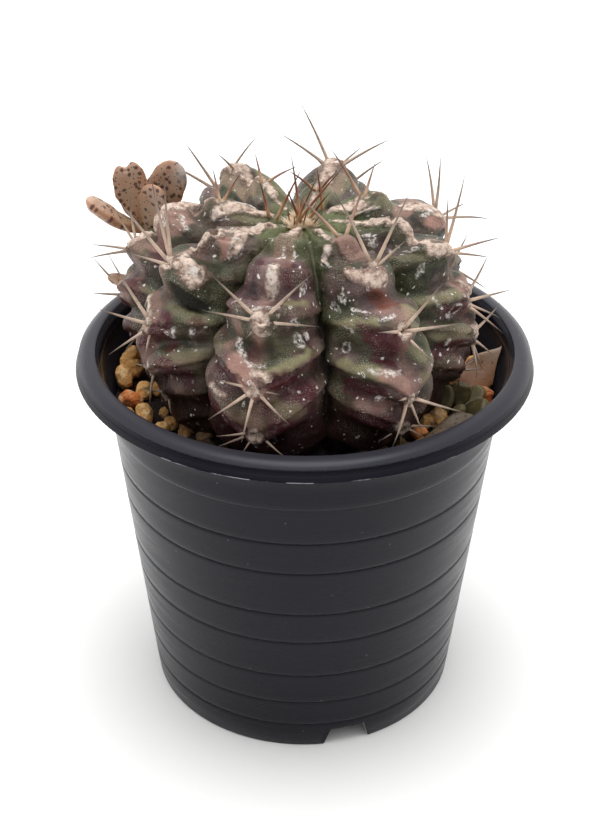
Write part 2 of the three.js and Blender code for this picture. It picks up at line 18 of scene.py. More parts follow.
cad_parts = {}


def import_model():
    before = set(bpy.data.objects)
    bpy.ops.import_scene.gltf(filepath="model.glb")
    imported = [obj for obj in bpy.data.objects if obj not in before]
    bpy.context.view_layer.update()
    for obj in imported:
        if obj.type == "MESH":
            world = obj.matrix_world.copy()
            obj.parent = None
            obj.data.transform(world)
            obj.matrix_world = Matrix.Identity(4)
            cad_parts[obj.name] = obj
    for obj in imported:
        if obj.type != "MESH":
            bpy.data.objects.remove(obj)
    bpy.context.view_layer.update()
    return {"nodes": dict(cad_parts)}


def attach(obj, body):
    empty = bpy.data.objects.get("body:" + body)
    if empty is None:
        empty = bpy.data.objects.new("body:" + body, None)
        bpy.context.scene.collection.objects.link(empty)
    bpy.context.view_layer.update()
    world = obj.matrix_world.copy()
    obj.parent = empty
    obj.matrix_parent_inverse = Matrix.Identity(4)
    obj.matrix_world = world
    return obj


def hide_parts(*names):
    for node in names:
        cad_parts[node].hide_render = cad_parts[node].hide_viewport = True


LOG = logging.getLogger("potted_cactus")
MM = 0.001
GOLDEN_ANGLE = 137.5
# Millimetres that stand for nowhere near a patch
FAR = 9.0
# Many numbers, and a place or a direction
Array = np.ndarray
Triple = tuple[float, float, float]

# Small shared helpers


def linear(hex_colour: str) -> tuple[float, float, float, float]:
    """Turns an sRGB hex colour to linear light.

    Args:
        hex_colour: The colour, such as "#A0B0C0".

    Returns:
        Red, green, blue and alpha.
    """
    values = [int(hex_colour[i : i + 2], 16) / 255 for i in (1, 3, 5)]
    bright = [v / 12.92 if v <= 0.04045 else ((v + 0.055) / 1.055) ** 2.4 for v in values]
    return (bright[0], bright[1], bright[2], 1.0)


def add(tree: Any, kind: str, *values: Any, **settings: Any) -> Any:
    """Adds a node with its settings, values and links.

    Args:
        tree: The tree that the node goes in.
        kind: The node's type name. A shader node's may leave out its first word, and a math node's may
            end in a dot and its operation.
        values: Values, sockets or nodes for the inputs in order, or by name or index in a dict.
        settings: Properties of the node itself.

    Returns:
        The new node.
    """
    kind, _, operation = kind.partition(".")
    node = tree.nodes.new(kind if "Node" in kind else "ShaderNode" + kind)
    if operation:
        node.operation = operation
    for name, value in settings.items():
        setattr(node, name, value)
    for number, given in enumerate(values):
        for name, value in (given.items() if isinstance(given, dict) else [(number, given)]):
            value = value.outputs[0] if isinstance(value, Node) else value
            if isinstance(value, NodeSocket):
                tree.links.new(value, node.inputs[name])
            elif value is not None:
                node.inputs[name].default_value = value
    return node


def per_mm(size: float) -> float:
    """Gives a pattern's scale in metres for a feature of that many millimetres."""
    return 1.0 / (size * MM)


def smoothstep(value: Array, low: float, high: float) -> Array:
    """Rises smoothly from 0 at low to 1 at high."""
    share = np.clip((value - low) / (high - low), 0, 1)
    return share * share * (3 - 2 * share)


def mound(value: Array, place: float, spread: float) -> Array:
    """A smooth mound of height 1 round a place."""
    return np.exp(-(((value - place) / spread) ** 2))


def unit(vectors: Array) -> Array:
    """Scales vectors to length 1."""
    return vectors / np.maximum(np.linalg.norm(vectors, axis=-1, keepdims=True), 1e-9)


class SpaceNoise:
    """Smooth seeded noise from -1 to 1 at points in space."""

    def __init__(self, seed: int) -> None:
        """Draws the noise's lattice from a seed."""
        self.lattice = np.random.default_rng(seed).random((32, 32, 32)) * 2 - 1

    def at(self, points: Array, size: float) -> Array:
        """Reads the noise.

        Args:
            points: Places, in millimetres.
            size: The width of one swell, in millimetres.

        Returns:
            One value for each place.
        """
        scaled = points / size
        corner = np.floor(scaled).astype(int)
        share = scaled - corner
        share = share * share * (3 - 2 * share)
        total = np.zeros(points.shape[:-1])
        for x in (0, 1):
            for y in (0, 1):
                for z in (0, 1):
                    weight = np.ones(points.shape[:-1])
                    for axis, step in enumerate((x, y, z)):
                        weight = weight * (share[..., axis] if step else 1 - share[..., axis])
                    cell = (corner + (x, y, z)) % 32
                    total += weight * self.lattice[cell[..., 0], cell[..., 1], cell[..., 2]]
        return total


def mesh_object(
    name: str, points: Array, faces: list | Array, attributes: dict[str, Array] | None = None,
    material: Material | None = None, sharp_angle: float = 60
) -> Object:
    """Makes an object from points and faces.

    Args:
        name: The piece's name.
        points: Places in millimetres, one row each.
        faces: Rows of point numbers, wound outwards.
        attributes: Numbers or vectors for each point.
        material: The finish.
        sharp_angle: Edges that bend more than this many degrees stay sharp.

    Returns:
        The new object, at the origin.
    """
    mesh = bpy.data.meshes.new(name)
    mesh.from_pydata((points * MM).tolist(), [], [list(face) for face in faces])
    for key, values in (attributes or {}).items():
        kind = "FLOAT_VECTOR" if values.ndim == 2 else "FLOAT"
        layer = mesh.attributes.new(key, kind, "POINT")
        layer.data.foreach_set("vector" if values.ndim == 2 else "value", values.astype(np.float32).ravel())
    mesh.update()
    if len(mesh.polygons):
        mesh.shade_smooth()
        mesh.set_sharp_from_angle(angle=math.radians(sharp_angle))
    if material:
        mesh.materials.append(material)
    piece = bpy.data.objects.new(name, mesh)
    bpy.context.scene.collection.objects.link(piece)
    return piece


def strip_faces(rows: int, columns: int, closed: bool) -> Array:
    """Numbers the quads of a grid of points, row after row.

    Args:
        rows: How many rows of points there are.
        columns: How many points a row has.
        closed: Whether each row joins up with its own start.

    Returns:
        Four point numbers for each quad.
    """
    row = np.arange(rows - 1)[:, None]
    column = np.arange(columns if closed else columns - 1)[None, :]
    after = (column + 1) % columns
    quads = [
        row * columns + column, (row + 1) * columns + column, (row + 1) * columns + after,
        row * columns + after
    ]
    return np.stack([np.broadcast_to(q, (rows - 1, column.size)) for q in quads], axis=-1).reshape(-1, 4)


def settle(piece: Object, sharp_angle: float = 60) -> Object:
    """Turns a piece with live modifiers to a plain mesh with its faces outwards.

    Args:
        piece: The object that has the modifiers.
        sharp_angle: Edges that bend more than this many degrees stay sharp.

    Returns:
        The same object, with a plain mesh.
    """
    graph = bpy.context.evaluated_depsgraph_get()
    graph.update()
    mesh = bpy.data.meshes.new_from_object(
        piece.evaluated_get(graph), preserve_all_data_layers=True, depsgraph=graph
    )
    piece.modifiers.clear()
    piece.data = mesh
    mesh.name = piece.name
    work = bmesh.new()
    work.from_mesh(mesh)
    bmesh.ops.recalc_face_normals(work, faces=work.faces)
    work.to_mesh(mesh)
    work.free()
    mesh.shade_smooth()
    mesh.set_sharp_from_angle(angle=math.radians(sharp_angle))
    return piece


def shape_with(piece: Object, tree: NodeTree, values: dict[str, Any]) -> None:
    """Puts a geometry tree on a piece and sets its named inputs.

    Args:
        piece: The object to shape.
        tree: The geometry tree.
        values: The inputs' values by name.
    """
    modifier = piece.modifiers.new(tree.name, "NODES")
    modifier.node_group = tree
    for socket in tree.interface.items_tree:
        if getattr(socket, "in_out", "") == "INPUT" and socket.name in values:
            modifier[socket.identifier] = values[socket.name]


def new_shape_tree(name: str, inputs: dict[str, str]) -> tuple[NodeTree, Node]:
    """Starts a geometry tree.

    Args:
        name: The tree's name.
        inputs: Each named input's kind of socket.

    Returns:
        The tree and its input node.
    """
    tree = bpy.data.node_groups.new(name, "GeometryNodeTree")
    tree.interface.new_socket("Geometry", in_out="OUTPUT", socket_type="NodeSocketGeometry")
    tree.interface.new_socket("Geometry", in_out="INPUT", socket_type="NodeSocketGeometry")
    for key, kind in inputs.items():
        tree.interface.new_socket(key, in_out="INPUT", socket_type="NodeSocket" + kind)
    return tree, tree.nodes.new("NodeGroupInput")


def close_shape_tree(tree: Any, shape: Any, given: Any) -> NodeTree:
    """Sets the finish that the tree was given on its shape and sends it out.

    Args:
        tree: The geometry tree.
        shape: The node that gives the shape.
        given: The tree's input node.

    Returns:
        The same tree.
    """
    dressed = add(tree, "GeometryNodeSetMaterial", shape, {"Material": given.outputs["Finish"]})
    add(tree, "NodeGroupOutput", dressed)
    return tree


# Finishes


def new_finish(name: str, roughness: float, specular: float = 0.5) -> tuple[Material, Any, Any, Any]:
    """Starts a material with one plain shader.

    Args:
        name: The finish's name.
        roughness: The shader's roughness.
        specular: How strongly the surface mirrors, 0.5 for an index of 1.5.

    Returns:
        The material, its tree, its shader and the object's own coordinates.
    """
    material = bpy.data.materials.new(name)
    material.use_nodes = True
    tree = material.node_tree
    tree.nodes.clear()
    shader = add(tree, "BsdfPrincipled", {"Roughness": roughness, "Specular IOR Level": specular})
    add(tree, "OutputMaterial", shader)
    return material, tree, shader, add(tree, "TexCoord").outputs["Object"]


def close_finish(tree: Any, shader: Any, colour: Any, height: Any, depth: float, rough: Any = None) -> None:
    """Links a finish's colour, fine relief and roughness to its shader.

    Args:
        tree: The material's tree.
        shader: The shader.
        colour: The colour's socket.
        height: The relief's socket, about 0 to 1.
        depth: How deep the relief is, in millimetres.
        rough: The roughness's socket, if it varies.
    """
    bump = add(tree, "Bump", {"Height": height, "Strength": 0.7, "Distance": depth * MM})
    links = {"Base Color": colour, "Normal": bump, "Roughness": rough}
    for name, value in links.items():
        if value is not None:
            tree.links.new(value.outputs[0] if isinstance(value, Node) else value, shader.inputs[name])


def blend_of(tree: Any, base: Any, *layers: tuple[Any, Any]) -> Any:
    """Lays colours over each other.

    Args:
        tree: The material's tree.
        base: The lowest colour, as hex or a socket.
        layers: Each layer's mask and colour, lowest first.

    Returns:
        The colour's socket.
    """
    colour = linear(base) if isinstance(base, str) else base
    for mask, tint in layers:
        tint = linear(tint) if isinstance(tint, str) else tint
        colour = add(tree, "Mix", {0: mask, 6: colour, 7: tint}, data_type="RGBA").outputs[2]
    return colour


def dots(
    tree: Any, place: Any, spacing: float, radius: float, kept: float, ringed: float = 0.0,
    flat: bool = False
) -> Any:
    """Scatters spots, some of them open rings.

    Args:
        tree: The material's tree.
        place: The coordinates.
        spacing: The distance between spots, in millimetres.
        radius: A spot's radius, in millimetres.
        kept: The share of spots that show.
        ringed: The share of spots that are open in the middle.
        flat: Whether the coordinates lie unrolled in a plane.

    Returns:
        A socket that is 1 in the spots.
    """
    given = {"Vector": place, "Scale": per_mm(spacing)}
    cells = add(tree, "TexVoronoi", given, voronoi_dimensions="2D" if flat else "3D")
    size = radius / spacing
    disc = add(tree, "MapRange", cells, size, size * 0.6)
    parts = add(tree, "SeparateColor", cells.outputs["Color"])
    chosen = add(tree, "Math.LESS_THAN", parts.outputs[0], kept)
    filled = add(tree, "Math.GREATER_THAN", parts.outputs[1], ringed)
    rim = add(tree, "MapRange", cells, size * 0.35, size * 0.6)
    whole = add(tree, "Math.MAXIMUM", filled, rim)
    shown = add(tree, "Math.MULTIPLY", disc, chosen)
    return add(tree, "Math.MULTIPLY", shown, whole).outputs[0]


def edge_of(tree: Any, distance: Any, ragged: Any, softness: float, reach: float) -> Any:
    """Turns a distance from a patch's edge to a ragged mask.

    Args:
        tree: The material's tree.
        distance: Millimetres from the edge, below 0 inside.
        ragged: A noise, 0.5 on average, that frays the edge.
        softness: The edge's width, in millimetres.
        reach: How far the noise moves the edge, in millimetres.

    Returns:
        A socket that is 1 inside the patch.
    """
    moved = add(tree, "Math.MULTIPLY_ADD", ragged, -2 * reach, distance)
    return add(tree, "MapRange", moved, softness - reach, -softness - reach).outputs[0]


def read(tree: Any, *names: str) -> list[Any]:
    """Gives the sockets of a mesh's own attributes, by name. The one named flat holds coordinates."""
    return [
        add(tree, "Attribute", attribute_name=name).outputs["Vector" if name == "flat" else "Fac"]
        for name in names
    ]


@dataclass(frozen=True)
class MouldedPlastic:
    """Black polypropylene, injection moulded: satin, a little violet, with handling scuffs and dust, and a
    rim top painted lighter, partly for wear and partly as a painted highlight.
    """

    name: str = "moulded_black_polypropylene"
    dark: str = "#08070D"
    light: str = "#100F18"
    # The lighter tone on the rim's top: partly handling wear, partly a painted highlight
    worn: str = "#3E3D44"
    dust: str = "#77757A"
    burr: str = "#A9A8AE"
    sheen: str = "#E6E6F2"
    lip_height: float = 94.0
    roughness: float = 0.28
    seam_height: float = 91.35
    burr_places: tuple[tuple[float, float], ...] = ((-22.0, 10.0), (-1.0, 3.0))

    def material(self) -> Material:
        """Builds the material."""
        material, tree, shader, place = new_finish(self.name, self.roughness, 0.24)
        shader.inputs["Specular Tint"].default_value = linear(self.sheen)
        (inside,) = read(tree, "inside")
        cloudy = add(tree, "TexNoise", place, None, per_mm(22), 4.0)
        # Handling scuffs run round the wall, so they are long across and fine up and down
        stretched = add(tree, "Mapping", place, {"Scale": (0.25, 0.25, 3.0)})
        scuffs = add(tree, "TexNoise", stretched, None, per_mm(5), 6.0)
        # Fine mould grain of 0.3 mm is drawn at 0.6 mm so that it shows
        grain = add(tree, "TexNoise", place, None, per_mm(0.6), 2.0)
        dusty = add(tree, "MapRange", scuffs, 0.6, 0.85, 0.0, 0.03)
        specks = dots(tree, place, 2.2, 0.3, 0.06)
        faint = add(tree, "Math.MULTIPLY", specks, 0.3)
        cover = add(tree, "Math.MAXIMUM", dusty, faint)
        # A torn burr is left here and there where the skirt's mould closed
        spot = add(tree, "SeparateXYZ", place)
        seam = add(tree, "Math.COMPARE", spot.outputs["Z"], self.seam_height * MM, 0.2 * MM)
        here = [
            add(tree, "Math.COMPARE", spot.outputs["X"], middle * MM, reach * MM)
            for middle, reach in self.burr_places
        ]
        most = add(tree, "Math.MAXIMUM", *here)
        ragged = add(tree, "TexNoise", place, None, per_mm(2.5), 2.0)
        eased = add(tree, "Math.MULTIPLY_ADD", most, 0.22, ragged)
        torn = add(tree, "MapRange", eased, 0.6, 0.76, 0.0, 0.65)
        burr = add(tree, "Math.MULTIPLY", seam, torn)
        # The rim's top is painted lighter: partly handling wear, partly a painted highlight
        lip_wear_and_highlight = add(
            tree, "MapRange", spot.outputs["Z"], (self.lip_height - 0.4) * MM, self.lip_height * MM, 0.0,
            0.5
        )
        colour = blend_of(
            tree, self.dark, (cloudy, self.light), (lip_wear_and_highlight, self.worn), (cover, self.dust), (burr, self.burr)
        )
        gloss = add(tree, "MapRange", scuffs, 0.3, 0.75, self.roughness - 0.06, self.roughness + 0.12)
        # Dust from the gravel has dulled the inside
        dulled = add(tree, "Math.MAXIMUM", inside, gloss)
        close_finish(tree, shader, colour, grain, 0.02, dulled)
        return material


@dataclass(frozen=True)
class PottingMix:
    """Damp peat and bark crumb: matt and nearly black."""

    name: str = "damp_potting_mix"
    dark: str = "#0D0B0A"
    light: str = "#2B2119"

    def material(self) -> Material:
        """Builds the material."""
        material, tree, shader, place = new_finish(self.name, 0.92, 0.3)
        crumb = add(tree, "TexVoronoi", {"Vector": place, "Scale": per_mm(1.4)})
        fibre = add(tree, "TexNoise", place, None, per_mm(3), 6.0)
        colour = blend_of(tree, self.dark, (fibre, self.light))
        close_finish(tree, shader, colour, crumb, 0.6)
        return material


@dataclass(frozen=True)
class FiredClayGrain:
    """Crushed baked clay: matt ochre and rust grains, finely pitted, darker towards the front as painted
    shade.
    """

    name: str = "crushed_fired_clay"
    ochre: str = "#E8B06A"
    rust: str = "#D06C34"
    pale: str = "#FBE0B4"
    dark: str = "#7C5230"
    # Painted shade on the grains at the front, under the rim and the overhanging cactus
    front_shade: str = "#120E0B"

    def material(self) -> Material:
        """Builds the material."""
        material, tree, shader, place = new_finish(self.name, 0.85, 0.35)
        tint, front_shade = read(tree, "tint", "front_shade")
        blotch = add(tree, "TexNoise", place, None, per_mm(2.2), 5.0)
        pits = add(tree, "TexNoise", place, None, per_mm(0.6), 3.0)
        rusty = add(tree, "MapRange", tint, 0.6, 0.9)
        chalk = add(tree, "MapRange", blotch, 0.5, 0.72, 0.0, 0.8)
        stain = add(tree, "MapRange", pits, 0.42, 0.28, 0.0, 0.7)
        colour = blend_of(
            tree, self.ochre, (rusty, self.rust), (chalk, self.pale), (stain, self.dark), (front_shade, self.front_shade)
        )
        close_finish(tree, shader, colour, pits, 0.6)
        return material


@dataclass(frozen=True)
class CactusSkin:
    """Live cactus skin: waxy and papillate, green in shade and wine-red where the sun has burnt it, with
    pale corky bark on its old crests and white mineral scars. Painted shade darkens its creases, hollows,
    grooves and lower body and part of its wine red; painted highlight lightens its up-facing slopes, ledge
    edges and crest, the bark's crumbs, its papillae and a few of the white strokes."""

    name: str = "waxy_cactus_skin"
    shade_green: str = "#3B3E2B"
    dusk: str = "#57373B"
    fresh: str = "#6A7049"
    # Partly the skin's own wine red, partly painted shade under ledges and low on the body
    wine: str = "#43121C"
    # The colour of the painted shade in creases, dimples, dents, grooves and low on the body
    shadow_colour: str = "#120808"
    # Partly the skin's own olive, partly painted highlight on slopes that face up
    olive: str = "#7F7A5A"
    # Partly the skin's own rose, partly painted highlight on ledge edges and the crest
    rose: str = "#A27C70"
    rust: str = "#7C4230"
    film: str = "#8C8580"
    worn: str = "#94877A"
    stain: str = "#1C1412"
    # Pale papilla dots, partly painted glints
    papilla: str = "#ABA196"
    # The bark's tone on its raised crumbs, a painted highlight, and its painted shade between them
    cork: str = "#E2CDBD"
    cork_shade: str = "#866A5D"
    # White scars, a few of them painted glints
    scar: str = "#E0D8D2"

    def material(self) -> Material:
        """Builds the material."""
        material, tree, shader, place = new_finish(self.name, 0.4, 0.22)
        band, chin, fresh, cork, scar = read(tree, "band", "chin", "fresh", "cork", "scar")
        painted_shade, rust, rose, purple, flat = read(tree, "painted_shade", "rust", "rose", "purple", "flat")
        broad = add(tree, "TexNoise", place, None, per_mm(11), 3.0)
        patchy = add(tree, "TexNoise", place, None, per_mm(5), 4.0)
        mottle = add(tree, "TexNoise", place, None, per_mm(2.4), 5.0, 0.62)
        crust = add(tree, "TexNoise", place, None, per_mm(1.6), 6.0, 0.7)
        grain = add(tree, "TexNoise", place, None, per_mm(0.7), 3.0)
        # The skin's papillae, 0.4 mm apart on the plant, are drawn 0.55 mm apart so that they show
        bumps = {"Vector": flat, "Scale": per_mm(0.55), "Randomness": 0.7}
        papillae = add(tree, "TexVoronoi", bumps, voronoi_dimensions="2D")
        sunburn = add(tree, "Math.MULTIPLY_ADD", broad, 0.9, purple)
        dusky = add(tree, "MapRange", sunburn, 0.44, 0.62)
        lively = add(tree, "MapRange", mottle, 0.3, 0.6, 0.6, 1.0)
        greens, roses, bands, chins = (
            add(tree, "Math.MULTIPLY", value, lively) for value in (fresh, rose, band, chin)
        )
        lights = add(tree, "MapRange", mottle, 0.56, 0.74, 0.0, 0.4)
        darks = add(tree, "MapRange", patchy, 0.48, 0.3, 0.0, 0.75)
        bloom = add(tree, "MapRange", broad, 0.54, 0.7, 0.0, 0.28)
        # Pale dots on the papillae, partly painted glints on them
        papilla = add(tree, "MapRange", papillae, 0.36, 0.16)
        stippled = add(tree, "MapRange", patchy, 0.48, 0.64, 0.04, 0.5)
        smooth = add(tree, "MapRange", fresh, 0.3, 0.8, 1.0, 0.2)
        dotted = add(tree, "Math.MULTIPLY", stippled, smooth)
        stipple = add(tree, "Math.MULTIPLY", papilla, dotted)
        colour = blend_of(
            tree, self.shade_green, (dusky, self.dusk), (greens, self.fresh), (bloom, self.film),
            (darks, self.stain), (bands, self.olive), (chins, self.wine), (roses, self.rose),
            (rust, self.rust), (lights, self.worn), (stipple, self.papilla), (painted_shade, self.shadow_colour)
        )
        bark = edge_of(tree, cork, crust, 0.45, 1.3)
        white = edge_of(tree, scar, crust, 0.35, 1.2)
        broken = add(tree, "MapRange", grain, 0.4, 0.55, 0.1, 0.9)
        whitish = add(tree, "Math.MULTIPLY", white, broken)
        # Painted light and shade on the bark: lighter where its crust stands up, darker in its hollows
        crumb = add(tree, "MapRange", crust, 0.34, 0.58)
        bark_lit_and_shaded = blend_of(tree, self.cork_shade, (crumb, self.cork))
        warped = add(
            tree, "VectorMath", mottle.outputs[1], (0.002, 0.002, 0.0), flat, operation="MULTIPLY_ADD"
        )
        clustered = add(tree, "MapRange", patchy, 0.4, 0.5, 0.15, 1.0)
        chips = dots(tree, warped, 3.2, 0.48, 0.13, 0.4, flat=True)
        flakes = dots(tree, warped, 1.7, 0.24, 0.13, flat=True)
        lime = add(tree, "Math.MAXIMUM", chips, flakes)
        limed = add(tree, "Math.MULTIPLY", lime, clustered)
        colour = blend_of(tree, colour, (bark, bark_lit_and_shaded), (whitish, self.scar), (limed, self.scar))
        dry = add(tree, "Math.MAXIMUM", bark, white)
        rough = add(tree, "MapRange", dry, 0.0, 1.0, 0.4, 0.85)
        fine = add(tree, "Math.MULTIPLY_ADD", stipple, 0.8, grain)
        wavy = add(tree, "Math.MULTIPLY_ADD", mottle, 1.2, fine)
        crusty = add(tree, "Math.MULTIPLY", bark, crust)
        height = add(tree, "Math.MULTIPLY_ADD", crusty, 3.0, wavy)
        close_finish(tree, shader, colour, height, 0.4, rough)
        return material


@dataclass(frozen=True)
class SpineHorn:
    """Horny cactus spines: pinkish tan, greying to the tip, amber and brown where they are young."""

    name: str = "horny_cactus_spine"
    tan: str = "#C3AB97"
    grey: str = "#53463F"
    amber: str = "#C29A70"
    rust: str = "#7E3F20"
    brown: str = "#32150D"
    root: str = "#6A4836"

    def material(self) -> Material:
        """Builds the material."""
        material, tree, shader, place = new_finish(self.name, 0.45)
        share, tint = read(tree, "share", "tint")
        streak = add(tree, "TexNoise", place, None, per_mm(1.6), 3.0)
        greying = add(tree, "MapRange", share, 0.2, 0.9)
        rusting = add(tree, "MapRange", share, 0.1, 0.4)
        browning = add(tree, "MapRange", share, 0.5, 0.9)
        rooted = add(tree, "MapRange", share, 0.15, 0.04, 0.0, 0.6)
        shaded = add(tree, "MapRange", streak, 0.5, 0.75, 0.0, 0.45)
        old = blend_of(tree, self.tan, (greying, self.grey))
        young = blend_of(tree, self.amber, (rusting, self.rust), (browning, self.brown))
        colour = blend_of(tree, old, (tint, young), (rooted, self.root), (shaded, self.root))
        close_finish(tree, shader, colour, streak, 0.1)
        return material


@dataclass(frozen=True)
class AreoleFelt:
    """Short matted wool of the areoles: cream on the crown, dirty brown on the old ones."""

    name: str = "areole_wool"
    old: str = "#6B5346"
    young: str = "#F6E6CE"
    root: str = "#B08660"

    def material(self) -> Material:
        """Builds the material."""
        material, tree, shader, place = new_finish(self.name, 0.9, 0.2)
        share, tint = read(tree, "share", "tint")
        matted = add(tree, "TexNoise", place, None, per_mm(1.5), 3.0)
        rooted = add(tree, "MapRange", share, 0.0, 0.6, 0.6, 0.0)
        colour = blend_of(tree, self.old, (tint, self.young), (rooted, self.root))
        close_finish(tree, shader, colour, matted, 0.1)
        return material


@dataclass(frozen=True)
class SucculentLeaf:
    """A fleshy leaf: dull wax over flesh, with freckles and a worn paler edge. A leaf coloured on one edge
    only has it partly in its own brown and partly as painted shade along its lower side.
    """

    name: str
    colour: str
    low_colour: str
    edge_colour: str
    freckle: str = "#43241E"
    freckle_spacing: float = 1.8
    freckle_radius: float = 0.6
    freckles: float = 0.68
    bleached_colour: str = "#B4ADA8"

    def material(self) -> Material:
        """Builds the material."""
        material, tree, shader, place = new_finish(self.name, 0.5, 0.4)
        share, across, bleached, flat = read(tree, "share", "across", "bleached", "flat")
        blotch = add(tree, "TexNoise", place, None, per_mm(3.2), 4.0)
        grain = add(tree, "TexNoise", place, None, per_mm(0.6), 3.0)
        patchy = add(tree, "MapRange", blotch, 0.48, 0.66, 0.0, 0.6)
        rim = add(tree, "MapRange", across, 0.7, 1.0, 0.0, 0.85)
        warped = add(
            tree, "VectorMath", blotch.outputs[1], (0.001, 0.001, 0.0), flat, operation="MULTIPLY_ADD"
        )
        large = dots(tree, warped, self.freckle_spacing, self.freckle_radius, self.freckles, flat=True)
        small = dots(
            tree, warped, self.freckle_spacing * 0.55, self.freckle_radius * 0.4, self.freckles / 2,
            flat=True
        )
        freckle = add(tree, "Math.MAXIMUM", large, small)
        faded = add(tree, "Math.MULTIPLY", freckle, 0.85)
        colour = blend_of(
            tree, self.low_colour, (share, self.colour), (patchy, self.edge_colour),
            (rim, self.edge_colour), (faded, self.freckle), (bleached, self.bleached_colour)
        )
        close_finish(tree, shader, colour, grain, 0.2)
        return material


SPECKLED_SKIN = SucculentLeaf("speckled_succulent_leaf", "#BE9F8B", "#8E7350", "#AC7C5E")
YOUNG_SKIN = SucculentLeaf(
    "young_succulent_leaf", "#5A5233", "#2B2417", "#7A6E48", freckles=0.1, freckle_radius=0.3
)
DRY_SKIN = SucculentLeaf(
    "dry_fallen_leaf", "#94806F", "#7A4A2A", "#7F5838", freckles=0.05, freckle_radius=0.3
)
GREY_SKIN = SucculentLeaf(
    "grey_fallen_leaf", "#584C3C", "#62503C", "#463A2C", "#3A1A18", freckles=0.8, freckle_radius=0.45
)


@dataclass(frozen=True)
class PaleFloor:
    """Smooth matt white board."""

    name: str = "pale_floor"
    colour: str = "#F4F4F3"
    cloud: str = "#F2F2F1"

    def material(self) -> Material:
        """Builds the material."""
        material, tree, shader, place = new_finish(self.name, 0.9, 0.1)
        cloud = add(tree, "TexNoise", place, None, per_mm(300), 1.0)
        colour = blend_of(tree, self.colour, (cloud, self.cloud))
        close_finish(tree, shader, colour, cloud, 0.0)
        return material


# The pot


def turned_tree() -> NodeTree:
    """Makes the tree that turns an outline of points round the Z axis.

    Returns:
        The geometry tree.
    """
    tree, given = new_shape_tree("turned_wall", {"Rows": "Int", "Segments": "Int", "Finish": "Material"})
    position = add(tree, "GeometryNodeInputPosition")
    more = add(tree, "Math.ADD", given.outputs["Segments"], 1.0)
    grid = add(tree, "GeometryNodeMeshGrid", 1.0, 1.0, more, given.outputs["Rows"])
    here = add(tree, "SeparateXYZ", position)
    last = add(tree, "Math.SUBTRACT", given.outputs["Rows"], 1.0)
    raised = add(tree, "Math.ADD", here.outputs["Y"], 0.5)
    row = add(tree, "Math.MULTIPLY", raised, last)
    number = add(tree, "Math.ROUND", row)
    sampled = {"Geometry": given, "Value": position, "Index": number}
    outline = add(tree, "GeometryNodeSampleIndex", sampled, data_type="FLOAT_VECTOR")
    spot = add(tree, "SeparateXYZ", outline)
    angle = add(tree, "Math.MULTIPLY", here.outputs["X"], 2 * math.pi)
    turns = (add(tree, "Math", angle, operation=turn) for turn in ("COSINE", "SINE"))
    flat = [add(tree, "Math.MULTIPLY", spot.outputs["X"], turn) for turn in turns]
    place = add(tree, "CombineXYZ", *flat, spot.outputs["Z"])
    shaped = add(tree, "GeometryNodeSetPosition", grid, {"Position": place})
    merged = add(tree, "GeometryNodeMergeByDistance", shaped, {"Distance": 0.002 * MM})
    return close_shape_tree(tree, merged, given)


